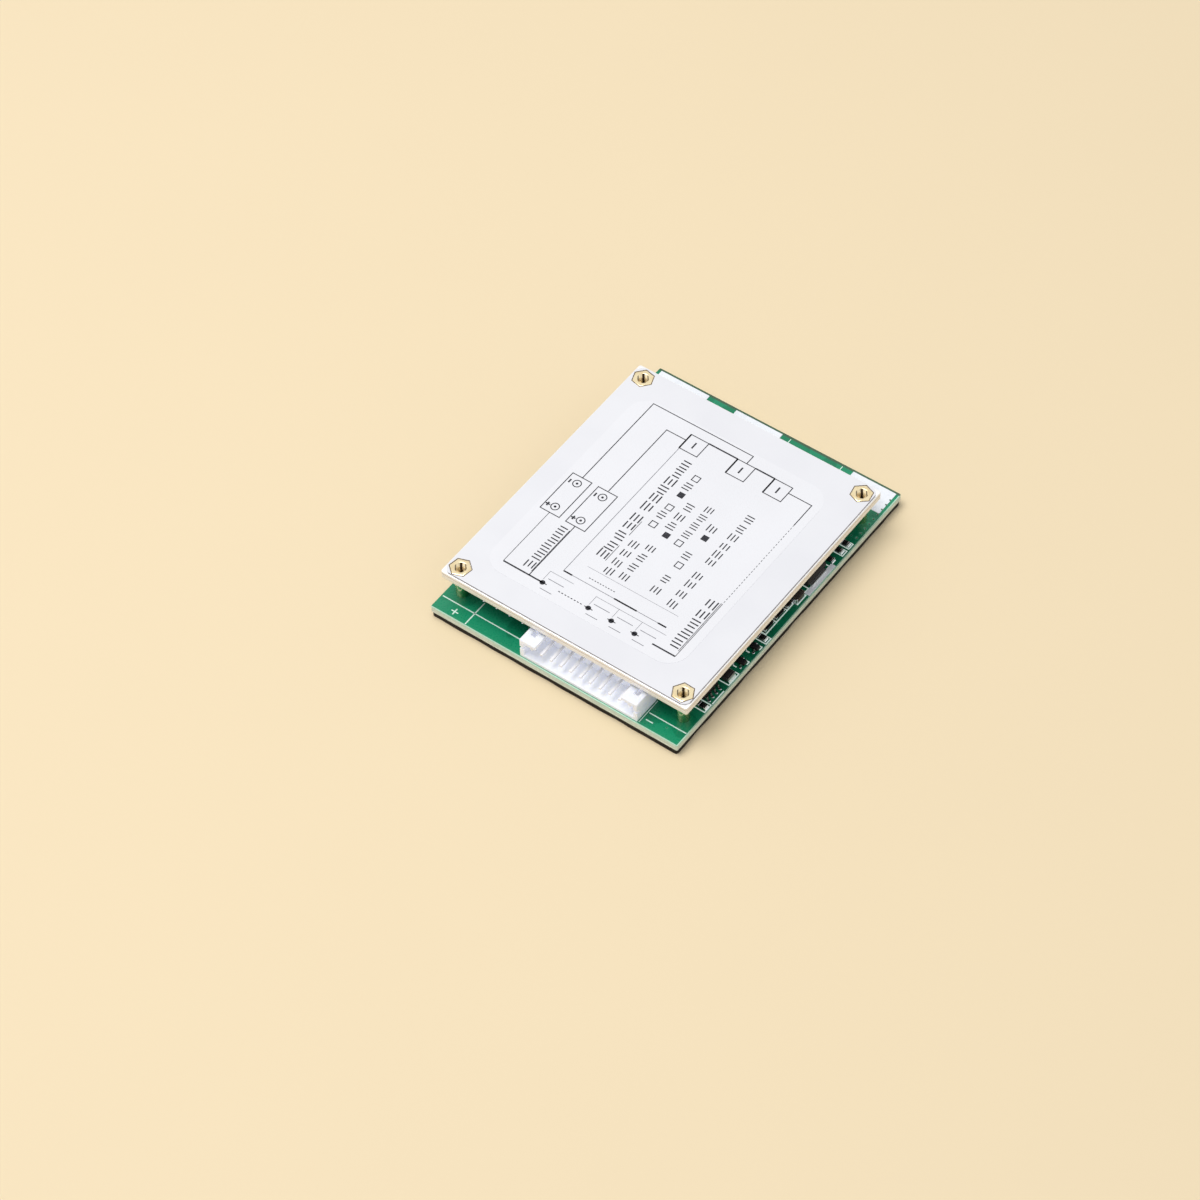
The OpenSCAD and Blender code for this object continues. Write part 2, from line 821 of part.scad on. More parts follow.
module signal_leads(i) {
    color([0.85, 0.85, 0.85])
        by_right_edge(signal_place_right, signal_place_y[i], -90)
            small_leads();
}

module at_drivers() {
    for (i = [0:driver_count - 1])
        on_board(driver_first + i * driver_pitch, driver_y, 90)
            children();
}

module driver_transistors() {
    color([0.12, 0.11, 0.11])
        at_drivers()
            small_body();
}

module driver_transistor_leads() {
    color([0.85, 0.85, 0.85])
        at_drivers()
            small_leads();
}

// The switching transistor beside the bus strip, its tab soldered to the strip
module at_switch() {
    translate([board_w / 2 - switch_place_right, bus_mid_y, top_z])
        children();
}

module switch_metal_shape() {
    translate([-SWITCH[0] / 2 + switch_tab_setback, -switch_tab_w / 2, tin_t])
        cube([SWITCH[0] - switch_tab_setback + switch_tab_l, switch_tab_w, switch_tab_t]);
    for (y = [-switch_lead_pitch / 2, switch_lead_pitch / 2])
        translate([-SWITCH[0] / 2, y, 0])
            rotate([0, 0, 180])
                gull_lead(switch_reach, switch_lead_h, switch_lead_w, switch_lead_t);
}

module switch_transistor() {
    color([0.10, 0.10, 0.11])
        difference() {
            at_switch()
                moulded_body(SWITCH, tin_t);
            at_switch()
                switch_metal_shape();
        }
}

module switch_transistor_metal() {
    color([0.80, 0.80, 0.79])
        at_switch()
            switch_metal_shape();
}

// ---- Chip resistors and capacitors ----

module at_1206_resistors() {
    for (i = [0:balance_count - 1])
        on_board(balance_first + i * balance_pitch, balance_y, 90)
            children();
    for (y = sense_y)
        by_right_edge(sense_right, y, 90)
            children();
}

module balance_resistors() {
    color([0.13, 0.13, 0.14])
        at_1206_resistors()
            chip_middle(CHIP_1206, resistor_h);
}

module balance_resistor_ends() {
    color([0.88, 0.88, 0.88])
        at_1206_resistors()
            chip_ends(CHIP_1206, resistor_h);
}

module edge_resistors() {
    color([0.13, 0.13, 0.14])
        for (e = EDGE_CHIPS)
            by_right_edge(e[0], e[1], e[2])
                chip_middle(CHIP_0805, resistor_h);
}

module edge_resistor_ends() {
    color([0.88, 0.88, 0.88])
        for (e = EDGE_CHIPS)
            by_right_edge(e[0], e[1], e[2])
                chip_ends(CHIP_0805, resistor_h);
}

module smoothing_capacitor() {
    color([0.42, 0.36, 0.31])
        by_right_edge(smoothing_right, smoothing_y, 90)
            chip_middle(CHIP_1210, capacitor_h);
}

module smoothing_capacitor_ends() {
    color([0.88, 0.88, 0.88])
        by_right_edge(smoothing_right, smoothing_y, 90)
            chip_ends(CHIP_1210, capacitor_h);
}

module blocking_capacitor() {
    color([0.36, 0.28, 0.22])
        by_right_edge(blocking_right, blocking_y)
            chip_middle(CHIP_1210, capacitor_h);
}

module blocking_capacitor_ends() {
    color([0.88, 0.88, 0.88])
        by_right_edge(blocking_right, blocking_y)
            chip_ends(CHIP_1210, capacitor_h);
}

// ---- Assembly ----

insulating_pad();
circuit_board();
charge_pad();
load_pad();
battery_pad();
bus_strip();
header_housing();
header_pins();
header_solder();
heatsink_plate();
plate_film();
board_screws();
thermal_pad();
monitor_ic();
monitor_ic_leads();
logic_ic();
logic_ic_leads();
switch_transistor();
switch_transistor_metal();
balance_resistors();
balance_resistor_ends();
edge_resistors();
edge_resistor_ends();
smoothing_capacitor();
smoothing_capacitor_ends();
blocking_capacitor();
blocking_capacitor_ends();
driver_transistors();
driver_transistor_leads();
for (i = [0:3])
    standoff(i);
for (c = [0:2])
    shunt(c);
for (r = [0:1])
    for (c = [0:2]) {
        power_body(r, c);
        power_frame(r, c);
    }
for (i = [0:1]) {
    signal_transistor(i);
    signal_leads(i);
}
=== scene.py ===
"""Dresses the battery management board: finishes, label print, silk screen, solder and studio."""

import logging
import math
import random
from dataclasses import dataclass
from enum import Enum
from functools import lru_cache
from typing import Any, Iterable, Iterator, Mapping, Sequence, Union

import bmesh
import bpy
from mathutils import Matrix, Vector


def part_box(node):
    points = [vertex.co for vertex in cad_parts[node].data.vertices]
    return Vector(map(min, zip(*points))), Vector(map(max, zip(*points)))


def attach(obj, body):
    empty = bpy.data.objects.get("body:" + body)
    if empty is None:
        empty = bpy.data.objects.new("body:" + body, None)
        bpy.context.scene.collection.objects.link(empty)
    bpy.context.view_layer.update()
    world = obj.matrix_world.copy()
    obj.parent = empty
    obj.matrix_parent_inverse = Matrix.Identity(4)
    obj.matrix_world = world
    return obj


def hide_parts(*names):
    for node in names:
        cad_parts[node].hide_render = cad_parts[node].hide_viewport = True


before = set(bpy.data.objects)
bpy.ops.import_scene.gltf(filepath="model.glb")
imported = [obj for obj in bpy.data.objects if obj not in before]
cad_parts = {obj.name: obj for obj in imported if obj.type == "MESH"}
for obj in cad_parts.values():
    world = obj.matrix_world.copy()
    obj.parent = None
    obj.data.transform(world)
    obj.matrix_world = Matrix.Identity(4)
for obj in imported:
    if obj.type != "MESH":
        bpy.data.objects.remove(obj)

logging.basicConfig(level=logging.INFO, format="%(levelname)s %(message)s")
log = logging.getLogger("battery_board")

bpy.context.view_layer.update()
MM = 0.001
WALL_RISE = 0.6
TOP_RISE = 0.8

Colour = tuple[float, float, float]
Point = tuple[float, float]
Path = tuple[Point, ...]
Value = Union["Wire", float]


def srgb(red: int, green: int, blue: int) -> Colour:
    """Turn display values from 0 to 255 into a linear colour."""
    parts = [part / 255 for part in (red, green, blue)]
    return tuple(p / 12.92 if p <= 0.04045 else ((p + 0.055) / 1.055) ** 2.4 for p in parts)


# ---- Shader graphs ----


class Wire:
    """An output of a shader graph that takes part in ordinary arithmetic."""

    def __init__(self, graph: "Graph", socket: bpy.types.NodeSocket | None) -> None:
        """Remember the graph and the output socket."""
        self.graph = graph
        self.socket = socket

    def __abs__(self) -> "Wire":
        """Drop the sign."""
        return self.graph.math("ABSOLUTE", self)

    def __add__(self, other: Value) -> "Wire":
        """Add."""
        return self.graph.math("ADD", self, other)

    def __sub__(self, other: Value) -> "Wire":
        """Subtract."""
        return self.graph.math("SUBTRACT", self, other)

    def __rsub__(self, other: Value) -> "Wire":
        """Subtract this value from a number."""
        return self.graph.math("SUBTRACT", other, self)

    def __mul__(self, other: Value) -> "Wire":
        """Multiply."""
        return self.graph.math("MULTIPLY", self, other)

    def __truediv__(self, other: Value) -> "Wire":
        """Divide."""
        return self.graph.math("DIVIDE", self, other)

    __radd__ = __add__

    def between(self, low: float, high: float) -> "Wire":
        """Rise smoothly from 0 at one value to 1 at another.

        Args:
            low: Value that gives 0.
            high: Value that gives 1.

        Returns:
            The smooth step.
        """
        return self.graph.node(
            "ShaderNodeMapRange",
            {"interpolation_type": "SMOOTHSTEP"},
            {"Value": self, "From Min": low, "From Max": high},
        )


class Graph:
    """The node tree of a material or of the world, measured in millimetres."""

    def __init__(self, tree: bpy.types.NodeTree) -> None:
        """Start with an empty tree."""
        self.tree = tree
        self.tree.nodes.clear()

    def node(
        self,
        kind: str,
        settings: Mapping[str, Any] | None = None,
        sockets: Mapping[Any, Any] | None = None,
        output: Any = 0,
    ) -> Wire:
        """Add a node of any type.

        Args:
            kind: Blender's type name of the node.
            settings: Properties that are set first.
            sockets: Values or wires of its inputs, by name or number.
            output: Name or number of the output to return.

        Returns:
            The chosen output, with no socket where the node has none.
        """
        node = self.tree.nodes.new(kind)
        for key, value in (settings or {}).items():
            setattr(node, key, value)
        for key, value in (sockets or {}).items():
            if isinstance(value, Wire):
                self.tree.links.new(value.socket, node.inputs[key])
            else:
                node.inputs[key].default_value = self._padded(value)
        return Wire(self, node.outputs[output] if len(node.outputs) else None)

    @staticmethod
    def _padded(value: Any) -> Any:
        """Give a linear colour its fourth channel, and pass anything else through."""
        is_colour = isinstance(value, tuple) and len(value) == 3
        return (*value, 1.0) if is_colour else value

    def math(self, operation: str, *values: Value) -> Wire:
        """Add a Math node with the named operation."""
        return self.node("ShaderNodeMath", {"operation": operation}, dict(enumerate(values)))

    def vector(self, operation: str, sockets: Mapping[Any, Any], output: Any = 0) -> Wire:
        """Add a Vector Math node with the named operation."""
        return self.node("ShaderNodeVectorMath", {"operation": operation}, sockets, output)

    def place(self) -> Wire:
        """Return the position on the object as a vector in millimetres."""
        where = self.node("ShaderNodeTexCoord", output="Object")
        return self.vector("SCALE", {0: where, "Scale": 1 / MM})

    def stretched(self, vector: Wire, stretch: Sequence[float]) -> Wire:
        """Multiply a vector axis by axis."""
        return self.vector("MULTIPLY", {0: vector, 1: list(stretch)})

    def axis(self, vector: Wire, name: str) -> Wire:
        """Return one axis of a vector, named X, Y or Z."""
        return self.node("ShaderNodeSeparateXYZ", sockets={0: vector}, output=name)

    def facing_up(self) -> Wire:
        """Return 1 on faces that look up and 0 on walls."""
        normal = self.node("ShaderNodeNewGeometry", output="Normal")
        return self.axis(normal, "Z").between(WALL_RISE, TOP_RISE)

    def noise(self, vector: Wire, size: float, detail: float = 3.0) -> Wire:
        """Return cloudy noise from 0 to 1.

        Args:
            vector: Position in millimetres.
            size: Width of its largest blotches in millimetres.
            detail: Number of finer octaves.

        Returns:
            The noise.
        """
        return self.node(
            "ShaderNodeTexNoise", sockets={"Vector": vector, "Scale": 1 / size, "Detail": detail}
        )

    def cells(self, vector: Wire, size: float) -> Wire:
        """Return the distance to the nearest cell centre, for cells of a size in millimetres."""
        return self.node("ShaderNodeTexVoronoi", sockets={"Vector": vector, "Scale": 1 / size})

    def mix(self, factor: Value, first: Any, second: Any) -> Wire:
        """Mix two colours.

        Args:
            factor: Share of the second colour.
            first: Colour at 0.
            second: Colour at 1.

        Returns:
            The mixed colour.
        """
        return self.node(
            "ShaderNodeMix", {"data_type": "RGBA"}, {0: factor, 6: first, 7: second}, output=2
        )

    def bump(self, height: Wire, depth: float) -> Wire:
        """Raise the surface by a height from 0 to 1 times a depth in millimetres."""
        return self.node("ShaderNodeBump", sockets={"Height": height, "Distance": depth * MM})

    def surface(self, **sockets: Any) -> None:
        """Finish the graph with a Principled shader.

        Args:
            sockets: Its inputs, with underscores for the spaces in their names.
        """
        named = {key.replace("_", " "): value for key, value in sockets.items()}
        shader = self.node("ShaderNodeBsdfPrincipled", sockets=named)
        self.node("ShaderNodeOutputMaterial", sockets={"Surface": shader})


# ---- Finishes ----


@dataclass(frozen=True)
class Finish:
    """A surface finish that paints its own material."""

    name: str

    def paint(self, graph: Graph) -> None:
        """Build the finish in an empty graph."""
        raise NotImplementedError


@lru_cache(maxsize=None)
def material_of(finish: Finish) -> bpy.types.Material:
    """Return the material of a finish, made once.

    Args:
        finish: Finish to make.

    Returns:
        Its material.
    """
    material = bpy.data.materials.new(finish.name)
    material.use_nodes = True
    finish.paint(Graph(material.node_tree))
    return material


@dataclass(frozen=True)
class Moulded(Finish):
    """Moulded plastic, glaze or ceramic: a mottled colour with a fine grain."""

    colour: Colour
    roughness: float = 0.5
    grain: float = 0.12
    grain_depth: float = 0.004
    mottling: float = 0.12
    specular: float = 0.5
    painted_glow: float = 0.0
    scatter: tuple[float, float, float] = (0.9, 0.95, 1.2)
    cloud_grains: float = 20.0
    sheen_swing: float = 0.16
    painted_glow_share: float = 0.3

    def paint(self, graph: Graph) -> None:
        """Build the plastic.

        Args:
            graph: Graph to fill.
        """
        place = graph.place()
        grain = graph.noise(place, self.grain)
        clouds = graph.noise(place, self.grain * self.cloud_grains)
        dark = tuple(part * (1 - self.mottling) for part in self.colour)
        graph.surface(
            Base_Color=graph.mix(clouds.between(0.3, 0.7), self.colour, dark),
            Roughness=self.roughness + (grain - 0.5) * self.sheen_swing,
            Normal=graph.bump(grain, self.grain_depth),
            Specular_IOR_Level=self.specular,
            # Painted glow: an emission in the plastic's own colour lifts its shade. The same value
            # also sets the real subsurface scattering weight.
            Emission_Color=self.colour,
            Emission_Strength=self.painted_glow * self.painted_glow_share,
            Subsurface_Weight=self.painted_glow,
            Subsurface_Radius=[reach * MM for reach in self.scatter],
            Subsurface_Scale=1.0,
        )


class Worked(Enum):
    """How a metal surface was worked: stretch of its marks along X, Y and Z."""

    PLATED = (1.0, 1.0, 1.0)
    TURNED = (0.3, 0.3, 9.0)
    DRAWN = (0.8, 0.8, 5.0)


def dull_spots(graph: Graph, place: Wire, size: float = 2.2) -> Wire:
    """Return the spots in which a metal has gone dull."""
    return graph.noise(place, size, 4).between(0.45, 0.75)


@dataclass(frozen=True)
class Metal(Finish):
    """Bare or plated metal: streaks in the direction in which it was worked, and dull spots."""

    colour: Colour
    tarnish: Colour
    roughness: float
    worked: Worked = Worked.PLATED
    marks: float = 0.5
    marks_depth: float = 0.006
    metallic: float = 1.0
    painted_glow: float = 0.0
    spot_tarnish: float = 0.55
    mark_tarnish: float = 0.25

    def paint(self, graph: Graph) -> None:
        """Build the metal.

        Args:
            graph: Graph to fill.
        """
        place = graph.place()
        marks = graph.noise(graph.stretched(place, self.worked.value), self.marks, 4)
        spots = dull_spots(graph, place)
        tarnish = spots * self.spot_tarnish + marks * self.mark_tarnish
        graph.surface(
            Base_Color=graph.mix(tarnish, self.colour, self.tarnish),
            Metallic=self.metallic,
            Roughness=self.roughness + spots * 0.12 + (marks - 0.5) * 0.2,
            Normal=graph.bump(marks, self.marks_depth),
            # Painted glow: an emission in the metal's own colour brightens it where it lies in
            # shade.
            Emission_Color=self.colour,
            Emission_Strength=self.painted_glow,
        )


@dataclass(frozen=True)
class TurnedBrass(Finish):
    """Turned brass: bright faces with fine rings, and upright dark bands of painted reflection in
    the bores.
    """

    colour: Colour
    tarnish: Colour
    painted_reflection_dark: Colour
    axis_place: Point
    middle_y: float
    mouth_r: float
    mouth_z: float
    bore_r: float = 0.95
    roughness: float = 0.14
    # Level direction, left to right in the camera's view, across the painted reflection bands.
    across: Point = (0.79, 0.61)
    bar_at: float = 0.1
    bar_edge: Point = (0.36, 0.18)
    flank_at: float = 1.08
    flank_edge: Point = (0.2, 0.08)
    ring_size: float = 0.5
    ring_depth: float = 0.005
    mouth_blend: float = 0.06
    bore_blend: float = 0.1

    def paint(self, graph: Graph) -> None:
        """Build the brass.

        Args:
            graph: Graph to fill.
        """
        place = graph.place()
        marks = graph.noise(graph.stretched(place, Worked.TURNED.value), self.ring_size, 4)
        spots = dull_spots(graph, place)
        x = graph.axis(place, "X")
        y = graph.axis(place, "Y") - self.middle_y
        x = x - graph.math("SIGN", x) * self.axis_place[0]
        y = y - graph.math("SIGN", y) * self.axis_place[1]
        reach = graph.math("SQRT", x * x + y * y)
        head = graph.axis(place, "Z").between(self.mouth_z - self.bore_blend, self.mouth_z)
        mouth = reach.between(self.mouth_r, self.mouth_r - self.mouth_blend) * head
        bore = reach.between(self.bore_r, self.bore_r - self.bore_blend)
        hole = graph.math("MAXIMUM", bore, mouth)
        # Painted reflection: a dark middle bar and two dark flanks on the bore walls stand upright
        # in the camera's view, in place of the streaks that the threads reflect.
        across = x * self.across[0] + y * self.across[1] + (marks - 0.5) * 0.2
        dark_reflection_bar = abs(across - self.bar_at).between(*self.bar_edge)
        dark_reflection_flanks = abs(abs(across) - self.flank_at).between(*self.flank_edge)
        wall = graph.mix(dark_reflection_bar, self.colour, self.painted_reflection_dark)
        wall = graph.mix(dark_reflection_flanks * 0.8, wall, self.painted_reflection_dark)
        face = graph.mix(spots * 0.45 + marks * 0.2, self.colour, self.tarnish)
        graph.surface(
            Base_Color=graph.mix(hole, face, wall),
            Metallic=1.0 - hole * 0.4,
            Roughness=self.roughness + hole * 0.25 + spots * 0.12 + (marks - 0.5) * 0.16,
            Normal=graph.bump(marks, self.ring_depth),
        )


@dataclass(frozen=True)
class ShearedSheet(Finish):
    """Sheet metal: a burnished band, a fine groove and a torn band on its cut edges, with painted
    shade in the groove and an underside painted dark as shade.
    """

    colour: Colour
    torn: Colour
    groove: Colour
    painted_underside_shade: Colour
    foot: float
    thickness: float
    groove_at: float = 0.62
    groove_edge: Point = (0.09, 0.02)
    burnish_blend: float = 0.1
    streak_size: float = 0.5
    streak_depth: float = 0.02
    stain_size: float = 3.0
    wander_size: float = 4.0
    wander_share: float = 0.12

    def paint(self, graph: Graph) -> None:
        """Build the sheet's surface.

        Args:
            graph: Graph to fill.
        """
        place = graph.place()
        share = (graph.axis(place, "Z") - self.foot) / self.thickness
        marks = graph.noise(graph.stretched(place, (3.0, 3.0, 0.4)), self.streak_size, 4)
        stains = dull_spots(graph, place, self.stain_size)
        wander = share + (graph.noise(place, self.wander_size, 2) - 0.5) * self.wander_share
        groove = abs(wander - self.groove_at).between(*self.groove_edge)
        wall = 1 - graph.facing_up()
        burnished = wander.between(self.groove_at, self.groove_at - self.burnish_blend)
        side = graph.mix(burnished, self.colour, self.torn)
        # The groove is bumped into the edge, and its darker colour is painted shade.
        side = graph.mix(groove * 0.7, side, self.groove)
        side = graph.mix(stains * 0.3, side, self.torn)
        # The underside and the very foot of the cut edge are painted dark grey as shade.
        side = graph.mix(share.between(0.01, 0.0), side, self.painted_underside_shade)
        graph.surface(
            Base_Color=graph.mix(wall, self.colour, side),
            Metallic=0.8 - wall * 0.6,
            Roughness=0.34 + wall * 0.14 + (marks - 0.5) * 0.2,
            Normal=graph.bump(marks - groove * 0.6 * wall, self.streak_depth),
        )


@dataclass(frozen=True)
class SolderMask(Finish):
    """Circuit board: glossy mask above, pale layered laminate on the cut edges and in holes.

    The mask stops short of the header edge and of the right edge, and leaves a pale rim there.
    """

    mask: Colour
    mask_dark: Colour
    over_copper: Colour
    bare_rim: Colour
    laminate: Colour
    laminate_dark: Colour
    far_rim: Colour
    face: Point
    far_margin: float = 0.35
    rim_z: Point = (2.2, 3.0)
    cloud_size: float = 6.0
    pour_sizes: Point = (5.0, 7.0)
    ply_size: float = 0.6
    chip_size: float = 0.7
    weave_size: float = 0.5
    relief: float = 0.012

    def paint(self, graph: Graph) -> None:
        """Build the board's surface.

        Args:
            graph: Graph to fill.
        """
        place = graph.place()
        up = graph.facing_up()
        clouds = graph.noise(place, self.cloud_size).between(0.35, 0.65)
        pour_x = graph.noise(graph.stretched(place, (1.0, 0.18, 0.0)), self.pour_sizes[0], 0)
        pour_y = graph.noise(graph.stretched(place, (0.2, 1.0, 0.0)), self.pour_sizes[1], 0)
        pours = (pour_x + pour_y).between(1.0, 1.03)
        mask = graph.mix(clouds * 0.5, self.mask, self.mask_dark)
        mask = graph.mix(pours * 0.5, mask, self.over_copper)
        plies = graph.noise(graph.stretched(place, (0.15, 0.15, 5.0)), self.ply_size, 2)
        chips = graph.noise(graph.stretched(place, (1.0, 1.0, 0.5)), self.chip_size, 3)
        edge = graph.mix(plies.between(0.35, 0.65), self.laminate, self.laminate_dark)
        edge = graph.mix(chips.between(0.4, 0.62) * 0.45, edge, self.laminate_dark)
        upper = graph.axis(place, "Z").between(*self.rim_z)
        edge = graph.mix(upper * 0.6, edge, self.bare_rim)
        weave = graph.noise(place, self.weave_size, 2)
        over_x = graph.axis(place, "X") - self.face[0]
        over_y = -self.face[1] - graph.axis(place, "Y")
        outside = graph.math("MAXIMUM", over_x, over_y) + (weave - 0.5) * 0.06
        mask = graph.mix(outside.between(-0.02, 0.03), mask, self.bare_rim)
        beyond = graph.axis(place, "Y") - self.face[1] + self.far_margin
        mask = graph.mix(beyond.between(-0.03, 0.03) * 0.8, mask, self.far_rim)
        graph.surface(
            Base_Color=graph.mix(up, edge, mask),
            Roughness=0.55 - up * 0.27 + (weave - 0.5) * 0.08,
            Normal=graph.bump(weave * 0.4 + pours * 0.6, self.relief),
            Specular_IOR_Level=0.4,
        )


@dataclass(frozen=True)
class Sheet(Finish):
    """Plastic film or coated paper: nearly flat, with faint waves and dust, and side faces mixed
    halfway to grey.
    """

    colour: Colour
    shade: Colour
    roughness: float
    wave_depth: float = 0.01
    tooth: float = 0.25
    dust: Colour = srgb(150, 150, 155)
    wave_size: float = 14.0
    speck_size: float = 1.7

    def paint(self, graph: Graph) -> None:
        """Build the sheet.

        Args:
            graph: Graph to fill.
        """
        place = graph.place()
        waves = graph.noise(place, self.wave_size, 2)
        tooth = graph.noise(place, self.tooth, 2)
        specks = graph.cells(place, self.speck_size).between(0.05, 0.02)
        tone = graph.mix(waves.between(0.3, 0.7) * 0.6, self.colour, self.shade)
        # The side faces are mixed halfway to the grey dust colour, so the cut edges read darker.
        edge = 1 - graph.facing_up()
        graph.surface(
            Base_Color=graph.mix(edge * 0.5 + specks * 0.04, tone, self.dust),
            Roughness=self.roughness + (tooth - 0.5) * 0.1 + waves * 0.05,
            Normal=graph.bump(waves * 0.9 + tooth * 0.1, self.wave_depth),
            Specular_IOR_Level=0.45,
        )


@dataclass(frozen=True)
class Ink(Finish):
    """Printed ink, a little thin in places."""

    colour: Colour
    thin: Colour
    roughness: float = 0.5
    patch: float = 0.35
    painted_glow: float = 0.0
    relief: float = 0.002

    def paint(self, graph: Graph) -> None:
        """Build the ink.

        Args:
            graph: Graph to fill.
        """
        worn = graph.noise(graph.place(), self.patch, 3).between(0.48, 0.72)
        graph.surface(
            Base_Color=graph.mix(worn * 0.6, self.colour, self.thin),
            Roughness=self.roughness + worn * 0.15,
            Normal=graph.bump(worn, self.relief),
            Specular_IOR_Level=0.3,
            # Painted glow: an emission in the ink's own colour brightens it where it lies in shade.
            Emission_Color=self.colour,
            Emission_Strength=self.painted_glow,
        )


@dataclass(frozen=True)
class Foam(Finish):
    """Closed-cell foam: fine open cells on the cut edge and a smoother skin above."""

    colour: Colour
    bloom: Colour
    cell_size: float = 0.22
    cell_depth: float = 0.05
    dust_size: float = 1.5

    def paint(self, graph: Graph) -> None:
        """Build the foam.

        Args:
            graph: Graph to fill.
        """
        place = graph.place()
        cells = graph.cells(place, self.cell_size)
        dust = graph.noise(place, self.dust_size, 4).between(0.5, 0.8)
        graph.surface(
            Base_Color=graph.mix(dust * 0.5 + cells * 0.15, self.colour, self.bloom),
            Roughness=0.82 - cells * 0.12,
            Normal=graph.bump(cells, self.cell_depth),
            Specular_IOR_Level=0.3,
        )


@dataclass(frozen=True)
class Floor(Finish):
    """Plain pale studio floor."""

    colour: Colour
    cloud_size: float = 60.0
    cloud_share: float = 0.985

    def paint(self, graph: Graph) -> None:
        """Build the floor.

        Args:
            graph: Graph to fill.
        """
        clouds = graph.noise(graph.place(), self.cloud_size, 2)
        shade = tuple(part * self.cloud_share for part in self.colour)
        tone = graph.mix(clouds, self.colour, shade)
        graph.surface(Base_Color=tone, Roughness=0.7, Specular_IOR_Level=0.2)


GREEN_MASK = SolderMask(
    "green_solder_mask",
    mask=srgb(18, 140, 98),
    mask_dark=srgb(10, 108, 76),
    over_copper=srgb(34, 160, 116),
    bare_rim=srgb(190, 230, 208),
    laminate=srgb(240, 245, 238),
    laminate_dark=srgb(202, 216, 202),
    far_rim=srgb(74, 86, 66),
    face=(31.5, 41.0),
)
# The white nylon has painted glow that lifts the shade in the header's cavities, and real
# subsurface scattering.
NYLON = Moulded("white_nylon", srgb(234, 237, 247), 0.42, 0.3, 0.003, 0.02, painted_glow=0.5)
EPOXY = Moulded("black_epoxy", srgb(26, 25, 27), 0.6, 0.09, 0.006, 0.25, specular=0.3)
GLAZE = Moulded("black_glaze", srgb(26, 26, 28), 0.28, 0.2, 0.002, 0.2)
CERAMIC = Moulded("brown_ceramic", srgb(70, 61, 54), 0.5, 0.1, 0.004, 0.2)
DARK_CERAMIC = Moulded("dark_ceramic", srgb(40, 34, 31), 0.5, 0.1, 0.004, 0.2)
SILICONE = Moulded("grey_silicone", srgb(150, 160, 172), 0.6, 0.25, 0.01, 0.15)
ALUMINIUM = ShearedSheet(
    "sheared_aluminium",
    colour=srgb(252, 250, 247),
    torn=srgb(252, 249, 244),
    groove=srgb(192, 168, 154),
    # Dark grey painted shade for the plate's underside.
    painted_underside_shade=srgb(90, 88, 84),
    foot=9.3,
    thickness=2.0,
)
BRASS = TurnedBrass(
    "turned_brass",
    colour=srgb(252, 234, 192),
    tarnish=srgb(218, 186, 126),
    # Dark colour of the painted reflection bands in the bores.
    painted_reflection_dark=srgb(62, 44, 24),
    axis_place=(28.5, 32.5),
    middle_y=-2.0,
    mouth_r=1.4,
    mouth_z=10.7,
)
# The pin tin has a faint painted glow that whitens the header pins.
PIN_TIN = Metal(
    "pin_tin", srgb(250, 250, 254), srgb(234, 234, 238), 0.3, metallic=0.15, painted_glow=0.06
)
# The tinned copper has painted glow that brightens the pads and the bus strip, which lies in the
# plate's shade.
TINNED = Metal(
    "tinned_copper",
    srgb(236, 239, 244),
    srgb(212, 217, 224),
    roughness=0.45,
    marks=1.6,
    metallic=0.15,
    painted_glow=0.15,
)
LEAD_TIN = Metal("lead_tin", srgb(222, 222, 218), srgb(170, 170, 168), 0.3, Worked.DRAWN)
DULL_TIN = Metal("dull_tin", srgb(132, 134, 132), srgb(84, 86, 84), 0.35, marks=0.4)
SOLDER = Metal("solder", srgb(238, 239, 241), srgb(190, 192, 196), 0.2, marks=0.7)
ZINC = Metal("zinc_plate", srgb(212, 214, 220), srgb(160, 160, 168), 0.3)
ALLOY = Metal("resistance_alloy", srgb(168, 160, 148), srgb(120, 112, 102), 0.42)
FILM = Sheet("white_film", srgb(243, 243, 247), srgb(236, 236, 241), 0.3)
LABEL = Sheet("paper_label", srgb(245, 245, 249), srgb(241, 241, 245), 0.5, 0.006, 0.4)
FOAM = Foam("black_foam", srgb(19, 15, 12), srgb(52, 45, 35))
BLACK_INK = Ink("black_ink", srgb(36, 36, 42), srgb(96, 96, 104))
GREY_INK = Ink("grey_ink", srgb(120, 120, 128), srgb(186, 186, 194))
SEAM_INK = Ink("seam_shadow", srgb(128, 122, 124), srgb(186, 180, 182), 0.6, 1.5)
# Painted shadow in the gap round each hexagonal head.
HEAD_GAP_SHADOW = Ink("head_gap_shadow", srgb(106, 86, 62), srgb(146, 122, 92), 0.5, 0.5)
SILK = Ink("silk_screen", srgb(232, 255, 243), srgb(176, 238, 212), 0.5, 0.6)
# Silk screen with painted glow, for the outlines that lie in the plate's shade.
SILK_PAINTED_LIGHT = Ink("silk_screen_painted_light", srgb(236, 255, 246), srgb(200, 244, 224), 0.5, 0.6, 0.3)
FAINT_RING = Ink("covered_ring", srgb(74, 182, 140), srgb(30, 140, 100), 0.35, 0.4)
FLOOR = Floor("pale_floor", srgb(249, 229, 192))


# ---- Meshes ----


def circle(centre: Point, radii: Point, steps: int, start: float = 0.0) -> list[Point]:
    """Return points on a circle or an ellipse, counter-clockwise.

    Args:
        centre: Its centre.
        radii: Its half widths along X and Y.
        steps: Number of points.
        start: Angle of the first point in radians.

    Returns:
        The points.
    """
    turns = [start + 2 * math.pi * i / steps for i in range(steps)]
    return [
        (centre[0] + radii[0] * math.cos(t), centre[1] + radii[1] * math.sin(t)) for t in turns
    ]


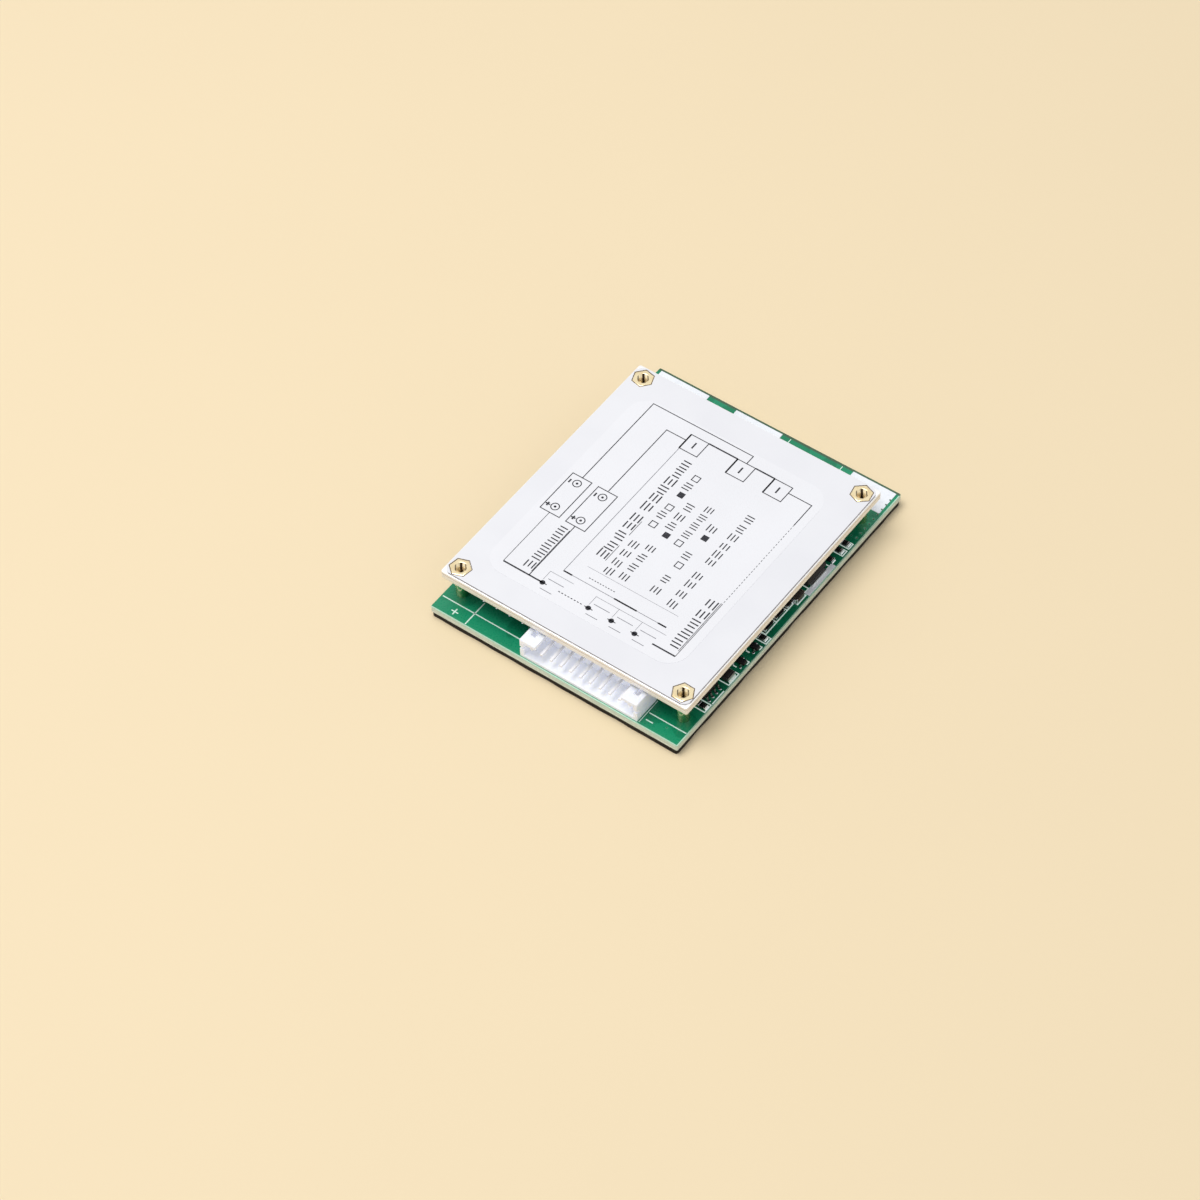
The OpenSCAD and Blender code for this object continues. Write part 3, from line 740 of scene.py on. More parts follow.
def rectangle(low: Point, high: Point) -> list[Point]:
    """Return the corners of a rectangle, counter-clockwise."""
    return [(low[0], low[1]), (high[0], low[1]), (high[0], high[1]), (low[0], high[1])]


def rounded(size: Point, radius: float, centre: Point, steps: int) -> list[Point]:
    """Return the outline of a rectangle with round corners, counter-clockwise.

    Args:
        size: Width and length.
        radius: Radius of the corners.
        centre: Its centre.
        steps: Number of sides in each corner.

    Returns:
        The outline.
    """
    outline = []
    for quarter, (side_x, side_y) in enumerate([(1, 1), (-1, 1), (-1, -1), (1, -1)]):
        x = centre[0] + side_x * (size[0] / 2 - radius)
        y = centre[1] + side_y * (size[1] / 2 - radius)
        for i in range(steps + 1):
            angle = math.pi / 2 * (quarter + i / steps)
            outline.append((x + radius * math.cos(angle), y + radius * math.sin(angle)))
    return outline


def raised(outline: Iterable[Sequence[float]], z: float) -> list[tuple[float, float, float]]:
    """Return flat points at a height."""
    return [(*point, z) for point in outline]


def link_new(name: str, data: bpy.types.ID) -> bpy.types.Object:
    """Put a new object in the scene.

    Args:
        name: Name of the object.
        data: Its mesh, light or camera.

    Returns:
        The object.
    """
    thing = bpy.data.objects.new(name, data)
    bpy.context.scene.collection.objects.link(thing)
    return thing


def shade(data: bpy.types.Mesh, angle: float) -> None:
    """Shade a mesh smooth where its faces meet at less than an angle in degrees."""
    data.shade_smooth()
    data.set_sharp_from_angle(angle=math.radians(angle))


class Piece:
    """Gathers faces in millimetres and turns them into one object on the board."""

    def __init__(self) -> None:
        """Start with an empty mesh."""
        self.mesh = bmesh.new()

    def face(self, points: Iterable[Sequence[float]]) -> None:
        """Add one face through points."""
        self.mesh.faces.new([self.mesh.verts.new(point) for point in points])

    def skin(self, rows: Sequence[Sequence[Sequence[float]]], closed: bool = False) -> None:
        """Stretch faces between neighbouring rows of points.

        Args:
            rows: Rows with the same number of points.
            closed: Whether the last point of a row joins its first.
        """
        for near, far in zip(rows, rows[1:]):
            for i in range(len(near) if closed else len(near) - 1):
                j = (i + 1) % len(near)
                self.face([near[i], near[j], far[j], far[i]])

    def ribbon(self, points: Sequence[Point], width: float, z: float, closed: bool = False) -> None:
        """Add a flat line of constant width with mitred corners.

        Args:
            points: Corners of its middle line.
            width: Width of the line.
            z: Height at which it lies.
            closed: Whether the last corner joins the first.
        """
        middle = [Vector(point) for point in points]
        last = len(middle) - 1
        near, far = [], []
        for i, here in enumerate(middle):
            before = middle[i - 1] if i or closed else None
            after = middle[(i + 1) % len(middle)] if i < last or closed else None
            into = (here - before).normalized() if before is not None else None
            out = (after - here).normalized() if after is not None else into
            into = into if into is not None else out
            side = Vector((-out.y, out.x))
            across = (Vector((-into.y, into.x)) + side).normalized()
            reach = width / 2 / max(0.3, across.dot(side))
            near.append(here - across * reach)
            far.append(here + across * reach)
        self.skin([raised(near, z), raised(far, z)], closed)

    def dashes(self, ends: Path, width: float, z: float, dash: float, share: float = 0.55) -> None:
        """Add a dashed straight line.

        Args:
            ends: Its first and last points.
            width: Width of the line.
            z: Height at which it lies.
            dash: Length of a dash and its gap together.
            share: Share of that length that the dash fills.
        """
        first, last = Vector(ends[0]), Vector(ends[1])
        count = max(1, round((last - first).length / dash))
        for i in range(count):
            stops = [first.lerp(last, step / count) for step in (i, i + share)]
            self.ribbon([tuple(stop) for stop in stops], width, z)

    def disc(self, centre: Point, radius: float, z: float, steps: int = 28) -> None:
        """Add a flat disc."""
        self.face(raised(circle(centre, (radius, radius), steps), z))

    def ring(self, centre: Point, radii: Point, z: float, steps: int = 28) -> None:
        """Add a flat ring with an inner and an outer radius."""
        inner, outer = [raised(circle(centre, (r, r), steps), z) for r in radii]
        self.skin([outer, inner], closed=True)

    def slab(self, outline: Sequence[Point], low: float, high: float) -> None:
        """Add a closed prism over an outline.

        Args:
            outline: Corners, counter-clockwise.
            low: Height of its underside.
            high: Height of its top.
        """
        foot, crown = raised(outline, low), raised(outline, high)
        self.face(crown)
        self.face(reversed(foot))
        self.skin([foot, crown], closed=True)

    def mound(self, centre: Point, radii: Point, low: float, height: float) -> None:
        """Add a low rounded mound, such as a drop of solder.

        Args:
            centre: Its middle.
            radii: Its half widths along X and Y.
            low: Height of its foot.
            height: Height of its crown above the foot.
        """
        steps = 14
        levels = [(1.0, 0.0), (0.86, 0.45), (0.58, 0.82), (0.25, 0.98)]
        rims = [
            raised(circle(centre, (radii[0] * wide, radii[1] * wide), steps), low + height * rise)
            for wide, rise in levels
        ]
        self.skin(rims, closed=True)
        self.face(rims[-1])

    def fillet(self, low: Vector, high: Vector, out: Vector, reach: float, rise: float) -> None:
        """Add a hollow-faced solder fillet against the outer face of a chip's end.

        Args:
            low: Lowest corner of the end, in millimetres.
            high: Highest corner of the end.
            out: Direction away from the chip, along X or Y.
            reach: Length of the fillet on the board.
            rise: Height of the fillet on the end.
        """
        half = (high - low) / 2
        forward = Vector((abs(out.x), abs(out.y), 0))
        across = Vector((abs(out.y), abs(out.x), 0))
        start = (low + high) / 2 + out * abs(half.dot(forward))
        start.z = low.z
        wide = across * half.dot(across)
        levels = [(0.0, 1.0, 1.0), (0.25, 0.5, 1.0), (0.55, 0.2, 0.98), (1.0, 0.03, 0.92)]
        rows = []
        for far, up, width in levels:
            base = start + out * reach * far
            top = base + Vector((0, 0, rise * up))
            side = wide * width
            rows.append([base - side, top - side, top + side, base + side])
        self.skin(rows)
        self.face(rows[-1])

    def place(self, name: str, finish: Finish, slot: str, smooth: bool = False) -> None:
        """Turn the gathered faces into an object that rides on the board.

        Args:
            name: Name of the piece.
            finish: Its finish.
            slot: Not used.
            smooth: Whether to shade it smooth below 40 degrees.
        """
        bmesh.ops.remove_doubles(self.mesh, verts=self.mesh.verts, dist=1e-4)
        if smooth:
            bmesh.ops.recalc_face_normals(self.mesh, faces=self.mesh.faces)
        bmesh.ops.scale(self.mesh, vec=Vector((MM, MM, MM)), verts=self.mesh.verts)
        data = bpy.data.meshes.new(name)
        self.mesh.to_mesh(data)
        self.mesh.free()
        data.materials.append(material_of(finish))
        if smooth:
            shade(data, 40)
        piece = link_new(name, data)
        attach(piece, "root")


def box_mm(node: str) -> tuple[Vector, Vector]:
    """Return the lowest and highest corners of a solid in millimetres."""
    low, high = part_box(node)
    return low / MM, high / MM


def islands(node: str) -> list[tuple[Vector, Vector]]:
    """Return the boxes of the separate bodies in one node.

    Args:
        node: Name of the node.

    Returns:
        Lowest and highest corner of each body, in millimetres.
    """
    mesh = bmesh.new()
    mesh.from_mesh(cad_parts[node].data)
    bmesh.ops.remove_doubles(mesh, verts=mesh.verts, dist=1e-6)
    seen: set[bmesh.types.BMVert] = set()
    boxes = []
    for start in mesh.verts:
        if start in seen:
            continue
        body = [start]
        seen.add(start)
        for here in body:
            near = [edge.other_vert(here) for edge in here.link_edges]
            fresh = [vert for vert in near if vert not in seen]
            seen.update(fresh)
            body += fresh
        low, high = [
            Vector([pick(vert.co[axis] for vert in body) / MM for axis in range(3)])
            for pick in (min, max)
        ]
        boxes.append((low, high))
    mesh.free()
    return boxes


def dress(nodes: Iterable[str], finish: Finish) -> None:
    """Give solids a finish in place of their plain material.

    Args:
        nodes: Names of the nodes.
        finish: Finish to give them.
    """
    for node in nodes:
        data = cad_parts[node].data
        data.materials.clear()
        data.materials.append(material_of(finish))


def soften(node: str, finish: Finish, radius: float, segments: int = 2) -> bpy.types.Object:
    """Stand a copy with rounded edges in for a solid.

    Args:
        node: Name of the node.
        finish: Finish of the copy.
        radius: Radius of its edges in millimetres.
        segments: Number of faces across a rounded edge.

    Returns:
        The copy.
    """
    flat, sharp = math.radians(1), math.radians(35)
    mesh = bmesh.new()
    mesh.from_mesh(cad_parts[node].data)
    bmesh.ops.remove_doubles(mesh, verts=mesh.verts, dist=2e-7)
    bmesh.ops.dissolve_limit(mesh, angle_limit=flat, verts=mesh.verts, edges=mesh.edges)
    edges = [
        edge for edge in mesh.edges
        if len(edge.link_faces) == 2 and edge.calc_face_angle() > sharp
    ]
    bmesh.ops.bevel(
        mesh, geom=edges, offset=radius * MM, offset_type="OFFSET", segments=segments,
        profile=0.5, affect="EDGES", clamp_overlap=True,
    )
    data = bpy.data.meshes.new(node + "_soft")
    mesh.to_mesh(data)
    mesh.free()
    data.materials.append(material_of(finish))
    shade(data, 50)
    copy = link_new(node + "_soft", data)
    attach(copy, "root")
    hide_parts(node)
    return copy


# ---- Sub-assemblies ----


@dataclass
class InsulatingPad:
    """Black foam sheet under the board, with soft uneven edges."""

    edge_radius: float = 0.3
    long_edge: float = 3.0
    cuts: int = 40
    edge_band: float = 0.6
    waviness: float = 0.16
    wave_length: float = 9.0
    swell_turn: float = 0.37
    swell_start: float = 1.3
    top_share: float = 0.4

    def build(self) -> None:
        """Build the pad."""
        low, high = box_mm("insulating_pad")
        pad = soften("insulating_pad", FOAM, self.edge_radius, segments=3)
        mesh = bmesh.new()
        mesh.from_mesh(pad.data)
        long_edges = [edge for edge in mesh.edges if edge.calc_length() > self.long_edge * MM]
        bmesh.ops.subdivide_edges(mesh, edges=long_edges, cuts=self.cuts, use_grid_fill=True)
        bmesh.ops.triangulate(mesh, faces=mesh.faces)
        centre, half = (low + high) / 2, (high - low) / 2
        for vert in mesh.verts:
            spot = vert.co / MM - centre
            sag = self.waviness * (1.0 if spot.z < 0 else self.top_share)
            for axis in (0, 1):
                if half[axis] - abs(spot[axis]) < self.edge_band:
                    inward = sag * self.wave(vert.co[1 - axis] / MM, 3 * axis)
                    vert.co[axis] -= math.copysign(inward, spot[axis]) * MM
        mesh.to_mesh(pad.data)
        mesh.free()

    def wave(self, along: float, start: float) -> float:
        """Return the share by which the edge is drawn in at a place along it."""
        wave = 0.5 + 0.5 * math.sin(along * 2 * math.pi / self.wave_length + start)
        return wave * (0.6 + 0.4 * math.sin(along * self.swell_turn + self.swell_start))


@dataclass
class CircuitBoard:
    """Green board with its silk screen, plated holes and tinned pads."""

    rim: float = 0.25
    line: float = 0.28
    fine_line: float = 0.2
    frame_line: float = 0.27
    lift: float = 0.012
    crossing: float = 0.003
    line_gap: float = 0.1
    header_line_y: float = 3.5
    header_gaps: Point = (0.3, 0.7)
    corner_line: tuple[Point, Point] = ((8.55, 0.1), (8.55, 7.0))
    fine_line_gap: float = 0.35
    fine_line_y: Point = (0.3, 7.0)
    tick_y: Point = (75.0, 81.6)
    tick_x: Point = (35.1, 48.6)
    sign_size: float = 1.75
    plus_place: Point = (4.8, 1.5)
    minus_place: Point = (54.9, 1.7)
    tin_overlap: float = 0.6
    tin_margin: float = 0.35
    strip_overlap: float = 0.3
    strip_margin: float = 0.03
    tin_heights: Point = (0.02, 0.003)
    hole_count: int = 10
    hole_place: Point = (0.75, 0.9)
    hole_pitch: float = 1.6
    hole_ring: Point = (0.27, 0.48)
    stitch_ring: Point = (0.14, 0.3)
    stitch_r: float = 0.15
    stitch_lift: float = 0.002
    stitch_steps: int = 16
    stitch_places: Path = (
        (58.8, 2.4), (59.9, 67.6), (59.9, 69.4), (60.9, 66.6),
        (60.9, 70.6), (58.9, 66.2), (58.6, 72.6), (60.6, 72.9),
    )
    frames: tuple[tuple[Point, Point], ...] = (
        ((59.4, 10.1), (62.8, 12.4)),
        ((59.0, 18.7), (62.8, 22.3)),
        ((60.1, 32.0), (62.9, 33.8)),
        ((59.5, 34.1), (61.4, 44.15)),
        ((60.0, 60.8), (62.6, 62.45)),
        ((60.0, 63.15), (62.6, 64.8)),
    )
    strokes: tuple[Path, ...] = (
        ((62.85, 12.7), (62.85, 16.9)),
        ((60.5, 23.5), (61.4, 23.5)),
        ((62.75, 25.2), (62.75, 26.1), (61.85, 26.1)),
        ((60.5, 28.2), (61.4, 28.2)),
        ((62.7, 29.9), (62.7, 30.85), (61.8, 30.85)),
        ((59.6, 38.1), (61.4, 38.1)),
        ((59.6, 42.0), (61.4, 42.0)),
        ((62.3, 44.35), (62.3, 47.55), (60.0, 47.55)),
        ((59.4, 47.9), (61.7, 47.9)),
        ((59.0, 49.4), (61.7, 49.4), (61.7, 48.2)),
        ((61.0, 56.9), (61.7, 56.9)),
    )

    def __post_init__(self) -> None:
        """Read the corners of the board's coated face, and the height of its print."""
        low, high = box_mm("circuit_board")
        rim = Vector((self.rim, self.rim, 0))
        self.low, self.high = low + rim, high - rim
        self.z = self.high.z + self.lift

    def at(self, place: Point) -> Point:
        """Return a place measured from the board's left and header edges."""
        return (self.low.x + place[0], self.low.y + place[1])

    def build(self) -> None:
        """Dress the board and add its print and copper."""
        dress(["circuit_board"], GREEN_MASK)
        dress(["charge_pad", "load_pad", "battery_pad", "bus_strip"], TINNED)
        self.print_lines()
        self.print_outlines()
        self.ring_holes()
        self.spread_tin()

    def print_lines(self) -> None:
        """Print the long lines and the two plain signs of the header edge."""
        header_low, header_high = box_mm("header_housing")
        left, right = header_low.x - self.low.x, header_high.x - self.low.x
        end = self.high.x - self.low.x - self.line_gap
        y, half = self.header_line_y, self.sign_size / 2
        bold = [
            ((self.line_gap, y), (left - self.header_gaps[0], y)),
            ((right + self.header_gaps[1], y), (end, y)),
            self.corner_line,
        ]
        for sign_x, sign_y in (self.plus_place, self.minus_place):
            bold.append(((sign_x - half, sign_y), (sign_x + half, sign_y)))
        uprights = [(right + self.fine_line_gap, self.fine_line_y)]
        uprights += [(x, self.tick_y) for x in self.tick_x]
        fine = [((x, start), (x, stop)) for x, (start, stop) in uprights]
        silk = Piece()
        for width, lines in ((self.line, bold), (self.fine_line, fine)):
            for ends in lines:
                silk.ribbon([self.at(place) for place in ends], width, self.z)
        x, y = self.plus_place
        upright = [self.at((x, y - half)), self.at((x, y + half))]
        silk.ribbon(upright, self.line, self.z + self.crossing)
        silk.place("silk_lines", SILK, "board")

    def print_outlines(self) -> None:
        """Print the outlines round the small parts of the right edge."""
        silk = Piece()
        for low, high in self.frames:
            corners = rectangle(self.at(low), self.at(high))
            silk.ribbon(corners, self.frame_line, self.z, closed=True)
        for path in self.strokes:
            corners = [self.at(corner) for corner in path]
            silk.ribbon(corners, self.frame_line, self.z + self.crossing)
        # These outlines use the silk screen with painted glow, which brightens them in the plate's
        # shade.
        silk.place("silk_outlines", SILK_PAINTED_LIGHT, "board")

    def ring_holes(self) -> None:
        """Ring the plated holes of the right edge and the stitching holes."""
        rings, holes = Piece(), Piece()
        pad_y = box_mm("battery_pad")[0].y
        top = self.z + self.stitch_lift
        for i in range(self.hole_count):
            x = self.high.x - self.hole_place[0]
            y = self.high.y - self.hole_place[1] - i * self.hole_pitch
            if y < pad_y - self.hole_ring[1]:
                rings.ring((x, y), self.hole_ring, self.z)
        # Each stitching hole is a flat disc of black epoxy above its ring: painted shade that
        # stands for the hollow.
        for place in self.stitch_places:
            rings.ring(self.at(place), self.stitch_ring, self.z, self.stitch_steps)
            holes.disc(self.at(place), self.stitch_r, top, self.stitch_steps)
        rings.place("hole_rings", FAINT_RING, "board")
        holes.place("stitch_holes", EPOXY, "epoxy")

    def spread_tin(self) -> None:
        """Carry the tin of the three wire pads and of the bus strip on towards the edges."""
        tin = Piece()
        sink, lift = self.tin_heights
        for pad in ("charge_pad", "load_pad", "battery_pad"):
            low, high = box_mm(pad)
            near, far = high.y - self.tin_overlap, self.high.y - self.tin_margin
            tin.slab(rectangle((low.x, near), (high.x, far)), low.z + sink, high.z + lift)
        low, high = box_mm("bus_strip")
        near, far = high.x - self.strip_overlap, self.high.x - self.strip_margin
        tin.slab(rectangle((near, low.y), (far, high.y)), low.z + sink, high.z + lift)
        tin.place("pad_tin", TINNED, "tinned_copper")


@dataclass
class BalanceHeader:
    """White side-entry header with its bent square pins."""

    edge_radius: float = 0.09
    pin_radius: float = 0.07

    def build(self) -> None:
        """Stand softened copies in for the housing and its pins."""
        soften("header_housing", NYLON, self.edge_radius, segments=3)
        soften("header_pins", PIN_TIN, self.pin_radius)
        dress(["header_solder"], SOLDER)


class Weight(Enum):
    """Line weights of the label print, in millimetres."""

    FAINT = 0.08
    FINE = 0.1
    HAIR = 0.14
    GREY = 0.16
    THIN = 0.22
    BOLD = 0.38


@dataclass
class LabelPrint:
    """Wiring diagram on the label: plain lines, boxes, rings, signs and hatched blocks."""

    z: float
    seed: int = 11
    crossing: float = 0.003
    terminal: float = 4.6
    terminal_y: float = 21.0
    terminal_x: tuple[float, ...] = (-8.2, 3.9, 13.5)
    terminal_sign: float = 1.84
    supply_x: Point = (-22.3, -15.6)
    supply_size: Point = (5.0, 11.7)
    supply_y: float = -5.9
    pole_offset: float = 3.9
    pole_ring: Point = (0.81, 1.05)
    pole_dot: float = 0.3
    pole_sign: float = 1.1
    pole_sign_shift: Point = (-1.75, -0.2)
    cell_y: float = -27.9
    cell_x: tuple[float, ...] = (-12.1, -0.3, 5.6, 11.5)
    cell_r: float = 0.62
    cell_line: Point = (-1.0, 1.1)
    cell_marks: tuple[tuple[Weight, Path], ...] = (
        (Weight.GREY, ((0.4, 1.5), (4.4, 1.5))),
        (Weight.GREY, ((0.4, -1.5), (3.4, -1.5))),
        (Weight.FINE, ((-0.4, 0.8), (-0.4, 3.4), (5.6, 3.4))),
    )
    wires: tuple[tuple[Weight, Path], ...] = (
        (Weight.BOLD, ((-5.9, 23.3), (1.6, 23.3))),
        (Weight.BOLD, ((6.2, 23.3), (11.2, 23.3))),
        (Weight.THIN, ((15.8, 21.6), (21.8, 21.6), (21.8, 15.0))),
        (Weight.HAIR, ((21.8, -11.0), (21.8, -27.9))),
        (Weight.BOLD, ((21.8, -27.9), (16.0, -27.9))),
        (Weight.THIN, ((3.9, 23.3), (3.9, 25.8), (-22.3, 25.8), (-22.3, -0.1))),
        (Weight.THIN, ((-10.5, 21.3), (-15.6, 21.3), (-15.6, 0.1))),
        (Weight.HAIR, ((-22.3, -11.75), (-22.3, -27.9))),
        (Weight.THIN, ((-15.6, -11.75), (-15.6, -27.9))),
        (Weight.BOLD, ((-22.3, -27.9), (-12.1, -27.9))),
        (Weight.BOLD, ((-10.4, -22.8), (-8.2, -22.8))),
        (Weight.BOLD, ((2.6, -22.8), (8.4, -22.8))),
        (Weight.BOLD, ((13.8, -22.8), (15.9, -22.8))),
        (Weight.HAIR, ((-4.9, -15.6), (-4.9, -10.6))),
        (Weight.HAIR, ((-4.9, -7.2), (-4.9, -2.6))),
        (Weight.HAIR, ((21.5, -26.4), (21.5, -11.0))),
        (Weight.HAIR, ((-15.8, -26.8), (-15.8, -13.4))),
    )
    grey_wires: tuple[tuple[Weight, Path], ...] = (
        (Weight.HAIR, ((-10.4, 21.2), (-10.4, -22.8), (15.9, -22.8))),
        (Weight.FAINT, ((-7.0, -19.0), (16.2, -19.0))),
    )
    dashed: tuple[tuple[float, float, Path], ...] = (
        (0.13, 0.9, ((21.8, 15.0), (21.8, -11.0))),
        (0.22, 0.8, ((-8.0, -27.9), (-1.6, -27.9))),
        (0.2, 0.7, ((-4.9, -21.3), (2.0, -21.3))),
    )
    rows: tuple[tuple[float, float, tuple[float, ...]], ...] = (
        (-6.4, 2.7, (-14.3, -11.7, -8.3, -5.0, -2.4, 1.4, 4.2, 7.0, 9.8, 12.6, 15.4)),
        (-2.6, 2.3, (-17.5, -14.6, -11.6, -8.7, 1.3, 10.8)),
        (0.9, 2.3, (-17.0, -13.8, -10.6, -7.6, 0.0, 3.0, 6.2)),
        (4.9, 2.1, (-0.1, 2.7, 5.4, 8.0)),
        (8.3, 2.3, (-16.0, -12.4, -4.8, 4.2)),
        (13.3, 2.3, (-17.0, -13.8, -10.7, -8.0, -3.4, -0.8, 1.8, 4.8, 7.6, 10.8)),
        (20.0, 2.7, (-24.9, -21.8, -18.7, -15.6, -12.5)),
        (-17.2, 2.5, (-25.4, -22.6, -19.9, -17.1, -14.3)),
    )
    hatch_step: float = 0.36
    hatch_reach: Point = (0.3, 0.48)
    hatch_line: float = 0.12
    tick_box: float = 1.5
    filled: Path = ((-2.4, 8.1), (1.5, -2.7), (8.6, 1.3))
    hollow: Path = ((-2.5, -1.8), (-2.4, 3.9), (-2.4, 13.6), (4.9, -2.9), (8.4, -7.8))

    def __post_init__(self) -> None:
        """Start the black and the grey print."""
        self.black, self.grey = Piece(), Piece()
        self.dice = random.Random(self.seed)

    def line(self, path: Sequence[Point], weight: Weight, closed: bool = False) -> None:
        """Draw a solid black line."""
        self.black.ribbon(path, weight.value, self.z, closed)

    def box(self, centre: Point, size: Point) -> None:
        """Draw an open box round a centre."""
        (x, y), (w, l) = centre, (size[0] / 2, size[1] / 2)
        self.line(rectangle((x - w, y - l), (x + w, y + l)), Weight.THIN, True)

    def sign(self, centre: Point, size: float, plus: bool) -> None:
        """Draw a plus or a minus that reads along +Y.

        Args:
            centre: Its centre.
            size: Its width.
            plus: Whether it has its second arm.
        """
        (x, y), half = centre, size / 2
        self.line([(x, y - half), (x, y + half)], Weight.BOLD)
        if plus:
            arm = [(x - half, y), (x + half, y)]
            self.black.ribbon(arm, Weight.BOLD.value, self.z + self.crossing)

    def build(self) -> None:
        """Draw the whole diagram."""
        for weight, path in self.wires:
            self.line(path, weight)
        for weight, path in self.grey_wires:
            self.grey.ribbon(path, weight.value, self.z)
        for width, dash, ends in self.dashed:
            self.black.dashes(ends, width, self.z, dash)
        self.draw_terminals()
        self.draw_supplies()
        self.draw_cells()
        self.draw_rows()
        self.black.place("label_print_black", BLACK_INK, "white_film")
        self.grey.place("label_print_grey", GREY_INK, "white_film")

    def draw_terminals(self) -> None:
        """Draw the three terminal boxes, each with a minus and a bold left edge."""
        half = self.terminal / 2
        low, high = self.terminal_y - half, self.terminal_y + half
        for x in self.terminal_x:
            self.box((x, self.terminal_y), (self.terminal, self.terminal))
            self.line([(x - half, high), (x - half, low)], Weight.BOLD)
            self.sign((x, self.terminal_y), self.terminal_sign, False)

    def draw_supplies(self) -> None:
        """Draw the two supply boxes with a ring, a dot and a sign at each pole."""
        shift_x, shift_y = self.pole_sign_shift
        for x in self.supply_x:
            self.box((x, self.supply_y), self.supply_size)
            for side, plus in ((1, False), (-1, True)):
                y = self.supply_y + side * self.pole_offset
                self.black.ring((x, y), self.pole_ring, self.z)
                self.black.disc((x, y), self.pole_dot, self.z)
                self.sign((x + shift_x, y + shift_y), self.pole_sign, plus)

    def draw_cells(self) -> None:
        """Draw the row of cells with the marks beside each of them."""
        y = self.cell_y
        for x in self.cell_x:
            self.black.disc((x, y), self.cell_r, self.z)
            self.line([(x + end, y) for end in self.cell_line], Weight.THIN)
            for weight, path in self.cell_marks:
                shifted = [(x + across, y + up) for across, up in path]
                self.grey.ribbon(shifted, weight.value, self.z)

    def draw_rows(self) -> None:
        """Draw hatched blocks where the label has its rows, and the small squares."""
        for x, size, places in self.rows:
            for y in places:
                self.hatch((x, y), size)
        half = self.tick_box / 2
        for x, y in self.filled:
            self.black.ribbon([(x - half, y), (x + half, y)], self.tick_box, self.z)
        for centre in self.hollow:
            self.box(centre, (self.tick_box, self.tick_box))

    def hatch(self, centre: Point, size: float) -> None:
        """Draw a block of three short strokes, along or across its row.

        Args:
            centre: Centre of the block.
            size: Its side.
        """
        x, y = centre
        along = self.dice.random() < 0.5
        for side in (-1, 0, 1):
            step = side * self.hatch_step * size
            near = -size * self.dice.uniform(*self.hatch_reach)
            far = size * self.dice.uniform(*self.hatch_reach)
            if along:
                ends = [(x + step, y + near), (x + step, y + far)]
            else:
                ends = [(x + near, y + step), (x + far, y + step)]
            self.black.ribbon(ends, size * self.hatch_line, self.z)


